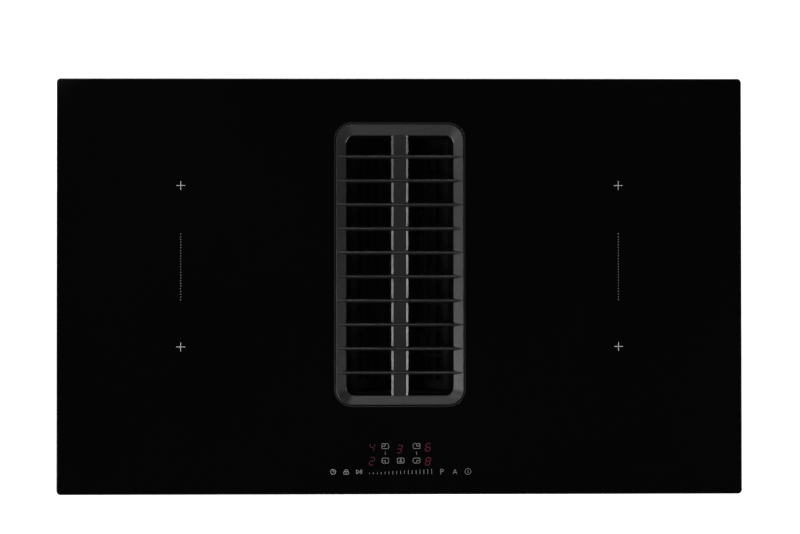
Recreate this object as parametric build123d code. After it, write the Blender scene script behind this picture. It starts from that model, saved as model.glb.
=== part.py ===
from build123d import *
import math
import os

# Downdraft induction cooktop. Millimetres. The origin is on the worktop, under the middle of the
# glass: +X to the right, +Y to the rear, +Z up. The user stands on the -Y side.

# ---- glass top
glass_width = 840.0
glass_depth = 510.0
glass_thick = 4.0
glass_corner_r = 5.0
glass_bevel = 0.8
seal_thick = 1.5
seal_width = 8.0
seal_inset = 3.0
seal_joint_gap = 0.2

# ---- air inlet and grille
inlet_y = 26.5
grille_width = 156.0
grille_length = 343.5
grille_corner_r = 19.0
grille_gap = 1.2
grille_proud = 1.2
grille_seat = 8.5
side_rail = 12.3
end_bar = 13.3
window_r = 10.0
rail_fall = 3.0
rail_land = 0.8
slat_pitch = 29.43
slat_crown = 0.8
slat_tip = 2.0
slat_shoulder = 4.9
slat_base = 5.3
slat_drop = 3.5
spine_width = 21.9
spine_flat = 15.7
window_edge = 0.8
lug_length = 22.0
lug_thick = 3.0
lug_drop = 4.0
lug_gap = 0.6
rim_thick = 1.1
glue_gap = 0.2
flange_reach = 9.0
flange_thick = 1.5
ledge_reach = 6.5
ledge_thick = 2.0
least_corner_r = 1.0

# ---- inlet well and grease filter
inlet_seal_thick = 1.5
well_wall = 2.5
well_flange = 5.0
well_depth = 55.5
well_foot = 2.0
filter_seat = 7.5
filter_ledge = 6.0
filter_clearance = 1.2
filter_flange_thick = 2.0
filter_wall = 2.0
filter_collar = 8.0
filter_depth = 44.0
trough_width = 36.0
trough_height = 9.0
mesh_thick = 3.0
mesh_slot_length = 28.0
mesh_slot_width = 8.0
mesh_slot_pitch_y = 32.0
mesh_slot_pitch_z = 12.0
mesh_border = 6.0
pull_tab_width = 40.0
pull_tab_height = 10.0
pull_tab_thick = 2.0

# ---- induction casings
casing_inner_x = 95.0
casing_overhang_x = 28.0
casing_overhang_y = 17.0
casing_height = 56.0
casing_wall = 1.0
casing_bend_r = 6.0
rail_thick = 1.2
rail_leg = 12.0
rail_drop = 13.5
vent_length = 60.0
vent_width = 4.0
vent_pitch = 10.0
vent_rows = 7
casing_screw_r = 2.0
casing_screw_head_r = 3.6
casing_screw_head = 1.8
casing_screw_length = 7.0
casing_screw_gap = 0.3

# ---- zones and coils
zone_edge = 123.7
zone_rear_margin = 19.7
zone_pitch_y = 197.6
coil_edge_gap = 13.7
coil_row_gap = 9.6
coil_corner_r = 70.0
coil_hole_width = 70.0
coil_hole_depth = 50.0
coil_hole_r = 20.0
coil_thick = 6.0
coil_air_gap = 0.5
mica_thick = 0.5
mica_corner = 40.0
former_thick = 2.0
former_reach = 1.0
ferrite_length = 62.0
ferrite_width = 12.0
ferrite_thick = 5.0
ferrite_count = 8
ferrite_start = 27.0
plate_thick = 1.5
plate_edge_gap = 3.0
plate_hole_r = 12.0
plate_leg = 14.0
sensor_r = 5.0
sensor_gap = 0.5

# ---- power electronics
board_thick = 1.6
board_rise = 7.0
board_gap = 14.0
board_front_gap = 103.0
board_rear_gap = 38.0
board_front_row = 61.7
board_rear_row = 75.7
spacer_r = 3.5
sink_width = 60.0
sink_length = 240.0
sink_height = 20.0
sink_base = 3.0
sink_fin = 1.2
sink_fin_count = 11
choke_r = 16.0
choke_height = 16.0
film_capacitor_length = 30.0
film_capacitor_width = 14.0
film_capacitor_pitch = 20.0
capacitor_r = 9.0
capacitor_height = 18.0
relay_size = 18.0
fan_frame_size = 80.0
fan_frame_height = 20.0
fan_frame_bore_r = 37.5
fan_frame_corner_r = 5.0
fan_frame_hub_r = 13.0
fan_frame_floor = 2.5
fan_strut = 4.0
fan_edge_gap = 12.0
rotor_tip_gap = 1.5
rotor_hub_r = 14.0
rotor_blades = 7
rotor_blade_thick = 1.2
rotor_pitch_deg = 38.0
rotor_pin_r = 1.5
pin_clearance = 0.05
rotor_lift = 0.8

# ---- touch control
tray_half_width = 86.0
tray_front_gap = 1.0
tray_rear_gap = 5.0
tray_rail_gap = 2.0
tray_height = 26.0
tray_wall = 1.8
touch_board_drop = 9.0
digit_height = 12.0
digit_width = 8.5
digit_left_x = -33.0
digit_middle_x = 1.0
digit_right_x = 35.4
digit_rear_in = 57.4
digit_front_in = 40.6
key_row_in = 27.6
key_places = (-80.5, -64.5, -48.7, 53.0, 68.3, 84.0)
touch_pad = 3.0
slider_x = 2.0
slider_length = 76.0
key_reach = 5.0

# ---- collector and overflow tray
collector_wall = 2.5
collector_side = 4.0
collector_base = 206.0
collector_r = 20.0
collector_end = 0.5
lid_thick = 2.0
lid_gap = 0.3
chamber_floor = 156.0
hopper_fall = 10.0
drain_width = 96.0
drain_length = 240.0
drain_r = 14.0
bay_height = 32.0
runner_thick = 1.5
runner_reach = 8.0
runner_rise = 22.0
overflow_gap = 0.5
overflow_wall = 1.8
overflow_flange = 1.8
overflow_height = 26.0
overflow_r = 8.0
overflow_front = 3.0
finger_width = 70.0
finger_reach = 12.0
finger_thick = 3.0

# ---- extraction fan
fan_x = 217.0
fan_y = 35.0
impeller_r = 80.0
impeller_inner_r = 66.0
blade_count = 30
blade_thick = 1.2
blade_lean_deg = 7.0
blade_bow = 2.4
impeller_height = 70.0
back_thick = 2.0
band_width = 5.0
band_height = 4.0
hub_cup_r = 41.0
hub_cup_height = 38.0
hub_wall = 2.0
boss_r = 8.0
boss_height = 12.0
shaft_r = 4.0
shaft_clearance = 0.05
bush_r = 8.0
bush_height = 9.0
motor_r = 35.0
motor_height = 40.0
motor_flange_r = 50.0
motor_flange_thick = 3.0
motor_cap_r = 30.0
motor_cap = 2.5
motor_mount_r = 6.0
motor_mount_height = 3.0
motor_mount_ring_r = 43.0
motor_hole_gap = 2.0
eye_r = 60.0
bell_flare = 12.0
volute_step = 18.0
volute_tongue_gap = 7.0
scroll_wall = 2.0
scroll_cover_thick = 2.0
scroll_floor_z = 196.0
scroll_flange = 6.0
scroll_flange_thick = 3.0
scroll_outlet_reach = 115.0
scroll_foot = 9.0
plenum_height = 46.0
plenum_wall = 2.0
plenum_r = 80.0
plenum_window_margin = 12.0
spigot_width = 218.0
spigot_height = 85.0
spigot_corner_r = 6.0
spigot_length = 40.0
spigot_wall = 2.0
spigot_x = 285.0
adapter_length = 55.0
adapter_flange = 6.0
adapter_flange_thick = 3.0

# ---- fan control, mains and clamps
control_box_width = 78.0
control_box_length = 120.0
control_box_height = 38.0
control_box_wall = 2.0
control_board_gap = 4.0
terminal_inset = 67.0
terminal_width = 76.0
terminal_length = 64.0
terminal_height = 36.0
terminal_wall = 2.0
terminal_ways = 6
terminal_way = 9.0
terminal_block_height = 16.0
terminal_block_length = 22.0
gland_bore_r = 6.0
gland_r = 10.0
gland_length = 14.0
gland_nut_r = 13.0
gland_nut = 6.0
clamp_inset = 53.0
clamp_offset = 6.5
clamp_screw_r = 2.5
clamp_screw_clearance = 0.08
clamp_head_r = 4.5
clamp_head = 3.0
clamp_top = 16.0
clamp_bottom = 48.0
clamp_tab = 1.5
clamp_tab_width = 14.0
claw_z = 36.0
claw_length = 34.0
claw_width = 9.0
claw_thick = 2.5
claw_tip = 6.0

# ---- levels and places that follow from the sizes above
casing_outer_x = glass_width / 2 - casing_overhang_x
casing_depth = glass_depth - 2 * casing_overhang_y
zone_x = casing_outer_x - zone_edge
coil_width = 2 * (zone_edge - coil_edge_gap)
coil_depth = zone_pitch_y - coil_row_gap
zone_mid_y = casing_depth / 2 - zone_rear_margin - coil_depth / 2 - zone_pitch_y / 2
board_front_y = -casing_depth / 2 + board_front_gap
board_rear_y = casing_depth / 2 - board_rear_gap
board_rows = (board_front_y + board_front_row, board_rear_y - board_rear_row)
digit_rear_y = digit_rear_in - glass_depth / 2
digit_front_y = digit_front_in - glass_depth / 2
key_row_y = key_row_in - glass_depth / 2
scroll_outlet_y = fan_y + scroll_outlet_reach
terminal_x = -casing_outer_x + terminal_inset
clamp_y = casing_depth / 2 - clamp_inset
glass_bottom = seal_thick
glass_top = glass_bottom + glass_thick
grille_top = glass_top + grille_proud
ledge_top = glass_top - grille_seat
ledge_bottom = ledge_top - ledge_thick
slat_bottom = ledge_top - slat_drop
cutout_grow = grille_gap + rim_thick + glue_gap
well_top = ledge_bottom - inlet_seal_thick
filter_z = well_top - filter_seat
well_bottom = well_top - well_depth
throat = -ledge_reach
neck = throat - filter_ledge
casing_bottom = -casing_height
casing_floor = casing_bottom + casing_wall
frame_leg_z = glass_bottom - rail_thick
lid_top = casing_bottom - well_foot
lid_bottom = lid_top - lid_thick
collector_x = grille_width / 2 + collector_side
collector_front = inlet_y - grille_length / 2 - collector_end
collector_rear = inlet_y + grille_length / 2 + collector_end
chamber_z = -chamber_floor
bay_top = chamber_z - hopper_fall - collector_wall
base_z = -collector_base
plenum_top = casing_bottom
plenum_bottom = plenum_top - plenum_height
cover_bottom = plenum_bottom - scroll_cover_thick
scroll_bottom = -scroll_floor_z
scroll_floor = scroll_bottom + scroll_wall
coil_top = glass_bottom - coil_air_gap - mica_thick
coil_bottom = coil_top - coil_thick
former_bottom = coil_bottom - former_thick
ferrite_bottom = former_bottom - ferrite_thick
plate_bottom = ferrite_bottom - plate_thick
board_bottom = casing_floor + board_rise
board_top = board_bottom + board_thick
zone_rows = (zone_mid_y - zone_pitch_y / 2, zone_mid_y + zone_pitch_y / 2)
volute_first_r = impeller_r + volute_tongue_gap + volute_step / 2
eps = 1.0


def slab(x0, x1, y0, y1, z0, z1):
    """A straight block between two corners."""
    return Pos((x0 + x1) / 2, (y0 + y1) / 2, (z0 + z1) / 2) * Box(x1 - x0, y1 - y0, z1 - z0)


def column(plan, z0, z1):
    """A flat plan raised from z0 to z1."""
    return Pos(0, 0, z0) * extrude(plan, z1 - z0)


def post(x, y, radius, z0, z1):
    """An upright round post from z0 to z1."""
    return Pos(x, y, (z0 + z1) / 2) * Cylinder(radius, z1 - z0)


def pillar(x, y, half, z0, z1):
    """An upright square post from z0 to z1."""
    return slab(x - half, x + half, y - half, y + half, z0, z1)


def plan_box(x0, x1, y0, y1, radius):
    """A rounded rectangle between two corners, seen from above."""
    return Pos((x0 + x1) / 2, (y0 + y1) / 2) * RectangleRounded(x1 - x0, y1 - y0, radius)


def inlet_plan(grow):
    """The grille's outline grown by one distance all round, in the inlet's place."""
    corner = max(grille_corner_r + grow, least_corner_r)
    return Pos(0, inlet_y) * RectangleRounded(grille_width + 2 * grow, grille_length + 2 * grow, corner)


def inlet_ring(outer_grow, inner_grow, z0, z1):
    """A rounded ring about the inlet."""
    return column(inlet_plan(outer_grow) - inlet_plan(inner_grow), z0, z1)


def taper(low_plan, low_z, high_plan, high_z):
    """A solid that runs straight from one plan to another."""
    return loft([(Pos(0, 0, low_z) * low_plan).face(), (Pos(0, 0, high_z) * high_plan).face()], ruled=True)


def screw_places():
    """Where each casing screw enters the glass frame, with the end of the casing it is on."""
    y = casing_depth / 2 + rail_thick
    return [(side * (casing_inner_x + casing_outer_x) / 2, end * y, -rail_drop / 2, end)
            for side in (-1, 1) for end in (-1, 1)]


def screw_holes(radius):
    """Round holes through rail and casing wall at each casing screw."""
    drill = Rot(90, 0, 0) * Cylinder(radius, 4 * casing_screw_length)
    return Part() + [Pos(x, y, z) * drill for x, y, z, _ in screw_places()]


# ==== glass top

def make_glass_panel():
    """Glass-ceramic sheet with a ground bevel and the inlet's cut-out."""
    panel = column(RectangleRounded(glass_width, glass_depth, glass_corner_r), glass_bottom, glass_top)
    panel = chamfer(panel.faces().sort_by(Axis.Z)[-1].outer_wire().edges(), glass_bevel)
    return panel - column(inlet_plan(cutout_grow), glass_bottom - eps, glass_top + eps)


def make_worktop_seal():
    """Four strips of foam under the rim of the glass, pressed flat by its weight."""
    x_out = glass_width / 2 - seal_inset
    y_out = glass_depth / 2 - seal_inset
    y_side = y_out - seal_width - seal_joint_gap
    strips = []
    for side in (-1, 1):
        y_a, y_b = sorted((side * y_out, side * (y_out - seal_width)))
        x_a, x_b = sorted((side * x_out, side * (x_out - seal_width)))
        strips.append(slab(-x_out, x_out, y_a, y_b, 0, glass_bottom))
        strips.append(slab(x_a, x_b, -y_side, y_side, 0, glass_bottom))
    return Compound(children=strips)


def make_glass_frame():
    """Four bent steel rails bonded under the glass; the casings hang from their down-turned legs."""
    x_in = casing_outer_x
    y_in = casing_depth / 2
    y_leg = y_in - rail_leg + rail_thick
    rails = []
    for side in (-1, 1):
        y_a, y_b = sorted((side * y_in, side * (y_in + rail_thick)))
        y_c, y_d = sorted((side * y_leg, side * (y_in + rail_thick)))
        x_end = x_in + rail_thick
        rail = slab(-x_end, x_end, y_c, y_d, frame_leg_z, glass_bottom)
        if side < 0:
            notch = tray_half_width + key_reach + tray_rail_gap
            rail -= slab(-notch, notch, -y_in, y_d + eps, frame_leg_z - eps, glass_bottom + eps)
        rail += slab(-x_end, x_end, y_a, y_b, -rail_drop, glass_bottom)
        rails.append(rail - screw_holes(casing_screw_r + casing_screw_gap))
        x_a, x_b = sorted((side * x_in, side * (x_in + rail_thick)))
        x_c, x_d = sorted((side * (x_in + rail_thick - rail_leg), side * (x_in + rail_thick)))
        y_end = y_leg - seal_joint_gap
        upright = slab(x_a, x_b, -y_end, y_end, -rail_drop, glass_bottom)
        rails.append(upright + slab(x_c, x_d, -y_end, y_end, frame_leg_z, glass_bottom))
    return Compound(children=rails)


# ==== grille and inlet frame

def fin_face(height):
    """Cross-section of a slat: a crowned top at height 0, sloped shoulders and drafted sides."""
    crown = slat_crown / 2
    tip = slat_tip / 2
    shoulder = slat_shoulder / 2
    base = slat_base / 2
    return Polygon((-crown, 0), (-tip, crown - tip), (-shoulder, -rail_fall), (-base, -height),
                   (base, -height), (shoulder, -rail_fall), (tip, crown - tip), (crown, 0), align=None)


def make_grille():
    """Cast grille: a ring whose rails fall inwards, a low spine and slats that run over both."""
    window_width = grille_width - 2 * side_rail
    window_length = grille_length - 2 * end_bar
    window = Pos(0, inlet_y) * RectangleRounded(window_width, window_length, window_r)
    brim = Pos(0, inlet_y) * RectangleRounded(window_width + 2 * window_edge,
                                              window_length + 2 * window_edge, window_r + window_edge)
    ring = column(inlet_plan(0), ledge_top, grille_top)
    ring -= taper(brim, grille_top - rail_fall, inlet_plan(-rail_land), grille_top)
    ring -= taper(window, grille_top - rail_fall - window_edge, brim, grille_top - rail_fall)
    ring -= column(window, ledge_top - eps, grille_top)
    flat_z = grille_top - rail_fall
    half = spine_width / 2
    flat = spine_flat / 2
    section = Polygon((-flat, flat_z), (flat, flat_z), (half, flat_z - half + flat), (half, slat_bottom),
                      (-half, slat_bottom), (-half, flat_z - half + flat), align=None)
    ring += Pos(0, inlet_y) * extrude(Plane.XZ * section, (window_length + end_bar) / 2, both=True) & \
        column(inlet_plan(-end_bar / 2), slat_bottom, grille_top)
    slat_count = int(window_length / slat_pitch)
    fin = fin_face(grille_top - slat_bottom)
    full = extrude(Plane.YZ * fin, window_width / 2, both=True)
    over_rail = extrude(Plane.YZ * fin, grille_width / 2 - rail_land, both=True)
    over_rail &= slab(-grille_width, grille_width, -slat_pitch, slat_pitch, ledge_top - grille_top, 0)
    for k in range(slat_count):
        y = inlet_y + (k - (slat_count - 1) / 2) * slat_pitch
        ring += Pos(0, y, grille_top) * full
        ring += Pos(0, y, grille_top) * over_rail
    lug_y = grille_length / 2 - ledge_reach - lug_gap - lug_thick
    for side in (-1, 1):
        y_a, y_b = sorted((side * lug_y, side * (lug_y + lug_thick)))
        ring += slab(-lug_length / 2, lug_length / 2, inlet_y + y_a, inlet_y + y_b,
                     ledge_top - lug_drop, ledge_top + rail_fall)
    return ring


def make_inlet_frame():
    """Moulded rim that lines the cut-out, with a ledge for the grille and a flange under the glass."""
    outer = cutout_grow - glue_gap
    rim = inlet_ring(outer, outer - rim_thick, ledge_bottom, glass_top)
    flange = inlet_ring(outer + flange_reach, outer - rim_thick, glass_bottom - flange_thick, glass_bottom)
    ledge = inlet_ring(outer, throat, ledge_bottom, ledge_top)
    return rim + flange + ledge


def make_inlet_seal():
    """Flat rubber ring between the inlet frame and the well."""
    return inlet_ring(throat + well_wall + well_flange, throat, well_top, ledge_bottom)


# ==== well and grease filter

def make_inlet_well():
    """Stepped moulded neck: a wide mouth, a ledge for the filter and a narrower skirt with a foot."""
    mouth = inlet_ring(throat + well_wall, throat, filter_z - well_wall, well_top)
    top_flange = inlet_ring(throat + well_wall + well_flange, throat, well_top - well_wall, well_top)
    step = inlet_ring(throat + well_wall, neck, filter_z - well_wall, filter_z)
    skirt = inlet_ring(neck + well_wall, neck, well_bottom, filter_z)
    foot = inlet_ring(neck + well_wall + well_flange, neck, lid_top, casing_bottom)
    return mouth + top_flange + step + skirt + foot


filter_body = neck - filter_clearance
filter_half_width = grille_width / 2 + filter_body
filter_half_length = grille_length / 2 + filter_body
filter_collar_z = filter_z - filter_collar
filter_bottom = filter_z - filter_depth
trough_half = trough_width / 2
mesh_top_x = filter_half_width - filter_wall
mesh_top_z = filter_collar_z
mesh_low_z = filter_bottom + trough_height
mesh_low_x = trough_half


def make_filter_basket():
    """Steel basket that lifts out: a flanged collar and two V-shaped ends with pull tabs."""
    flange = inlet_ring(throat - filter_clearance, filter_body - filter_wall, filter_z,
                        filter_z + filter_flange_thick)
    collar = inlet_ring(filter_body, filter_body - filter_wall, filter_collar_z, filter_z)
    basket = flange + collar
    y_in = filter_half_length - filter_wall
    wedge = Polygon((-mesh_top_x, filter_collar_z + filter_wall), (mesh_top_x, filter_collar_z + filter_wall),
                    (mesh_top_x, filter_collar_z), (trough_half, mesh_low_z), (trough_half, filter_bottom),
                    (-trough_half, filter_bottom), (-trough_half, mesh_low_z), (-mesh_top_x, filter_collar_z),
                    align=None)
    end = extrude(Plane.XZ * wedge, filter_wall / 2, both=True)
    for side in (-1, 1):
        basket += Pos(0, inlet_y + side * (y_in + filter_wall / 2)) * end
        tab_y = inlet_y + side * (y_in - pull_tab_thick / 2)
        tab = Plane.XZ * RectangleRounded(pull_tab_width, 2 * pull_tab_height, pull_tab_height / 2)
        basket += Pos(0, tab_y, filter_collar_z + filter_wall) * extrude(tab, pull_tab_thick / 2, both=True)
    return basket


def make_grease_trough():
    """Folded channel between the basket's ends that catches what runs off the two meshes."""
    y = filter_half_length - filter_wall
    channel = slab(-trough_half, trough_half, inlet_y - y, inlet_y + y, filter_bottom, mesh_low_z)
    inner = trough_half - filter_wall
    return channel - slab(-inner, inner, inlet_y - y - eps, inlet_y + y + eps, filter_bottom + filter_wall,
                          mesh_low_z + eps)


def make_filter_mesh(side):
    """One slanted filter panel of the V: a thick plate with rows of slots, from collar to trough."""
    run = math.hypot(mesh_top_x - mesh_low_x, mesh_top_z - mesh_low_z)
    lean = Vector(side * (mesh_top_x - mesh_low_x) / run, 0, (mesh_top_z - mesh_low_z) / run)
    face_normal = Vector(0, 1, 0).cross(lean)
    middle = Vector(side * (mesh_top_x + mesh_low_x) / 2, inlet_y, (mesh_top_z + mesh_low_z) / 2)
    inward = face_normal if face_normal.Z > 0 else face_normal * -1
    plane = Plane(origin=middle + inward * (mesh_thick / 2), x_dir=(0, 1, 0), z_dir=inward)
    length = 2 * (filter_half_length - filter_wall)
    sheet = Rectangle(length, run)
    rows = int((run - 2 * mesh_border + mesh_slot_pitch_z - mesh_slot_width) / mesh_slot_pitch_z)
    columns = int((length - 2 * mesh_border + mesh_slot_pitch_y - mesh_slot_length) / mesh_slot_pitch_y)
    slots = GridLocations(mesh_slot_pitch_y, mesh_slot_pitch_z, columns, rows)
    sheet -= slots * Rectangle(mesh_slot_length, mesh_slot_width)
    panel = extrude(plane * sheet, mesh_thick / 2, both=True)
    reach_x = sorted((side * trough_half, side * mesh_top_x))
    return panel & slab(*reach_x, inlet_y - length / 2, inlet_y + length / 2, filter_bottom, filter_collar_z)


# ==== collector and overflow tray

def collector_plan(inset, radius):
    """The collector's outline, drawn in by one distance all round."""
    return plan_box(-collector_x + inset, collector_x - inset, collector_front + inset,
                    collector_rear - inset, max(radius, least_corner_r))


def drain_plan(grow):
    """The drain opening in the chamber floor, grown by one distance."""
    return Pos(0, inlet_y) * RectangleRounded(drain_width + 2 * grow, drain_length + 2 * grow, drain_r + grow)


def make_collector_lid():
    """Flat lid on the collector, pierced for the well's skirt."""
    lid = column(collector_plan(0, collector_r), lid_bottom, lid_top)
    return lid - column(inlet_plan(neck + well_wall + lid_gap), lid_bottom - eps, lid_top + eps)


def make_collector_housing():
    """Deep tub with a hopper floor, a window to the plenum and an open bay for the overflow tray."""
    inner = collector_plan(collector_wall, collector_r - collector_wall)
    tub = column(collector_plan(0, collector_r), base_z, lid_bottom)
    tub -= column(inner, chamber_z, lid_bottom + eps)
    tub -= taper(drain_plan(0), chamber_z - hopper_fall, inner, chamber_z)
    tub -= column(drain_plan(0), bay_top - eps, chamber_z)
    below = column(inner, base_z - eps, chamber_z - collector_wall)
    below -= taper(drain_plan(collector_wall), bay_top, inner, chamber_z - collector_wall)
    tub -= below
    tub -= slab(-collector_x + collector_wall, collector_x - collector_wall, collector_front - eps,
                collector_front + collector_r, base_z - eps, bay_top)
    window = plenum_r - plenum_window_margin
    tub -= slab(collector_x - collector_wall - eps, collector_x + eps, fan_y - window, fan_y + window,
                plenum_bottom + plenum_wall, lid_bottom - collector_wall)
    return tub


runner_top = bay_top - (bay_height - runner_rise)
overflow_half = collector_x - collector_wall - runner_thick - overflow_gap
overflow_body_half = collector_x - collector_wall - runner_reach - overflow_gap
overflow_top = runner_top + overflow_gap + overflow_flange
overflow_front_y = collector_front - overflow_front - overflow_gap
overflow_rear_y = collector_rear - collector_wall - collector_r / 2


def make_tray_runners():
    """Two angle runners screwed to the inside of the tray bay."""
    wall_x = collector_x - collector_wall
    runners = []
    for side in (-1, 1):
        x_a, x_b = sorted((side * (wall_x - runner_thick), side * wall_x))
        x_c, x_d = sorted((side * (wall_x - runner_reach), side * wall_x))
        y_a = collector_front + collector_r
        y_b = collector_rear - collector_r
        upright = slab(x_a, x_b, y_a, y_b, runner_top - runner_thick, overflow_top + overflow_flange)
        runners.append(upright + slab(x_c, x_d, y_a, y_b, runner_top - runner_thick, runner_top))
    return Compound(children=runners)


def make_overflow_tray():
    """Water tray that slides out to the front on its side flanges, with a finger lip."""
    body = plan_box(-overflow_body_half, overflow_body_half, overflow_front_y + overflow_front,
                    overflow_rear_y, overflow_r)
    inner = plan_box(-overflow_body_half + overflow_wall, overflow_body_half - overflow_wall,
                     overflow_front_y + overflow_front + overflow_wall, overflow_rear_y - overflow_wall,
                     overflow_r - overflow_wall)
    low = overflow_top - overflow_height
    flange = plan_box(-overflow_half, overflow_half, overflow_front_y + overflow_front, overflow_rear_y,
                      overflow_r)
    tray = column(body, low, overflow_top)
    tray += column(flange, overflow_top - overflow_flange, overflow_top)
    front_half = collector_x - collector_wall - overflow_gap
    front_top = bay_top - overflow_gap
    tray += slab(-front_half, front_half, overflow_front_y, overflow_front_y + overflow_front, low, front_top)
    tray -= column(inner, low + overflow_wall, overflow_top + eps)
    lip = Pos(0, overflow_front_y) * RectangleRounded(finger_width, 2 * finger_reach, finger_reach / 2)
    lip = column(lip, low, low + finger_thick)
    lip &= slab(-finger_width, finger_width, overflow_front_y - 2 * finger_reach, overflow_front_y,
                low - eps, low + finger_thick + eps)
    return tray + lip


# ==== extraction fan

def volute_face(grow):
    """Spiral outline of four quarter arcs, each one step larger than the last, and a straight outlet."""
    a = fan_x - volute_step / 2
    b = fan_y + volute_step / 2
    radii = [volute_first_r + k * volute_step + grow for k in range(4)]
    centres = [(a, b), (a, b - volute_step), (a + volute_step, b - volute_step), (a + volute_step, b)]
    arcs = [CenterArc(centre, radius, 90 * k, 90) for k, (centre, radius) in enumerate(zip(centres, radii))]
    start_x = centres[0][0] + radii[0] - 2 * grow
    end_x = centres[3][0] + radii[3]
    spiral = make_face([*[arc.edge() for arc in arcs],
                        Line((centres[3][0] + radii[3], b), (centres[0][0] + radii[0], b)).edge()])
    outlet = Pos((start_x + end_x) / 2, (b + scroll_outlet_y) / 2) * \
        Rectangle(end_x - start_x, scroll_outlet_y - b)
    return spiral + outlet


outlet_x0 = fan_x - volute_step / 2 + volute_first_r
outlet_x1 = outlet_x0 + 4 * volute_step


def make_scroll_housing():
    """Spiral tub of the fan with an open outlet, a flanged rim and moulded feet."""
    tub = column(volute_face(scroll_wall), scroll_bottom, cover_bottom)
    tub -= column(volute_face(0), scroll_floor, cover_bottom + eps)
    tub -= post(fan_x, fan_y, motor_r + motor_hole_gap, scroll_bottom - eps, scroll_floor + eps)
    tub -= slab(outlet_x0, outlet_x1, scroll_outlet_y - eps, scroll_outlet_y + eps, scroll_floor,
                cover_bottom + eps)
    reach = scroll_flange + scroll_wall
    flange = slab(outlet_x0 - reach, outlet_x1 + reach, scroll_outlet_y - scroll_flange_thick,
                  scroll_outlet_y, scroll_bottom, cover_bottom)
    tub += flange - slab(outlet_x0, outlet_x1, 0, scroll_outlet_y + eps, scroll_floor, cover_bottom + eps)
    for foot_x, foot_y in ((outlet_x1 - scroll_foot, fan_y), (fan_x, fan_y - volute_first_r - volute_step),
                           (outlet_x1 - scroll_foot, scroll_outlet_y - 2 * scroll_foot)):
        tub += pillar(foot_x, foot_y, scroll_foot, base_z, scroll_bottom)
    return tub


def make_scroll_cover():
    """Flat cover of the scroll with a rolled bell-mouth that leads the air into the impeller."""
    cover = column(volute_face(scroll_wall), cover_bottom, plenum_bottom)
    mouth_r = eye_r + bell_flare
    cover -= post(fan_x, fan_y, mouth_r, cover_bottom - eps, plenum_bottom + eps)
    inner = bell_flare - scroll_cover_thick
    low = plenum_bottom - bell_flare
    turn = math.sqrt(0.5)
    outside = ThreePointArc((mouth_r, plenum_bottom), (mouth_r - bell_flare * turn, low + bell_flare * turn),
                            (eye_r, low))
    inside = ThreePointArc((mouth_r - inner, low), (mouth_r - inner * turn, low + inner * turn),
                           (mouth_r, cover_bottom))
    section = make_face([outside.edge(), Line((eye_r, low), (mouth_r - inner, low)).edge(), inside.edge(),
                         Line((mouth_r, cover_bottom), (mouth_r, plenum_bottom)).edge()])
    bell = Pos(fan_x, fan_y) * revolve(Plane.XZ * section, Axis.Z)
    return cover + bell


def make_plenum_duct():
    """Flat duct from the collector's window to the fan's eye, rounded about the eye."""
    def plan(inset, x0):
        size = plenum_r - inset
        straight = plan_box(x0, fan_x, fan_y - size, fan_y + size, least_corner_r)
        return straight + Pos(fan_x, fan_y) * Circle(size)
    duct = column(plan(0, collector_x), plenum_bottom, plenum_top)
    duct -= column(plan(plenum_wall, collector_x + plenum_wall), plenum_bottom + plenum_wall,
                   plenum_top - plenum_wall)
    window = plenum_r - plenum_window_margin
    duct -= slab(collector_x - eps, collector_x + plenum_wall + eps, fan_y - window, fan_y + window,
                 plenum_bottom + plenum_wall, lid_bottom - collector_wall)
    eye_top = plenum_bottom + plenum_wall + eps
    return duct - post(fan_x, fan_y, eye_r + bell_flare, plenum_bottom - eps, eye_top)


impeller_top = plenum_bottom - bell_flare - 2.0 * scroll_wall
impeller_bottom = impeller_top - impeller_height
cup_top = impeller_bottom + hub_cup_height


def make_fan_impeller():
    """Drum of forward-curved blades between a back plate and a top band, with a cup over the motor."""
    lean = math.radians(blade_lean_deg)
    half = blade_thick / 2
    direction = Vector(math.cos(lean), math.sin(lean), 0)
    across = Vector(-math.sin(lean / 2), math.cos(lean / 2), 0)
    root = Vector(impeller_inner_r, 0, 0)
    tip = direction * impeller_r
    middle = (root + tip) * 0.5 - across * blade_bow
    offset_by = across * half
    front = ThreePointArc(root + offset_by, middle + offset_by, tip + offset_by)
    back = ThreePointArc(tip - offset_by, middle - offset_by, root - offset_by)
    blade = make_face([front.edge(), Line(tip + offset_by, tip - offset_by).edge(), back.edge(),
                       Line(root - offset_by, root + offset_by).edge()])
    crown = Sketch() + [Rot(0, 0, 360 * k / blade_count) * blade for k in range(blade_count)]
    crown &= Circle(impeller_r)
    drum = column(crown, impeller_bottom, impeller_top)
    drum += column(Circle(impeller_r) - Circle(hub_cup_r), impeller_bottom, impeller_bottom + back_thick)
    drum += column(Circle(impeller_r) - Circle(impeller_r - band_width), impeller_top - band_height,
                   impeller_top)
    cup = Cylinder(hub_cup_r + hub_wall, hub_cup_height, align=(Align.CENTER, Align.CENTER, Align.MIN))
    cup -= Cylinder(hub_cup_r, hub_cup_height - hub_wall, align=(Align.CENTER, Align.CENTER, Align.MIN))
    cup = Pos(0, 0, impeller_bottom) * cup
    cup += post(0, 0, boss_r, cup_top - hub_wall, cup_top - hub_wall + boss_height)
    cup -= post(0, 0, shaft_r, impeller_bottom - eps, cup_top - hub_wall + boss_height + eps)
    return Pos(fan_x, fan_y) * (drum + cup)


motor_top = scroll_floor + motor_height - scroll_wall
motor_mount_bottom = scroll_bottom - motor_mount_height
motor_flange_bottom = motor_mount_bottom - motor_flange_thick
motor_low = motor_flange_bottom - motor_cap


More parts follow.
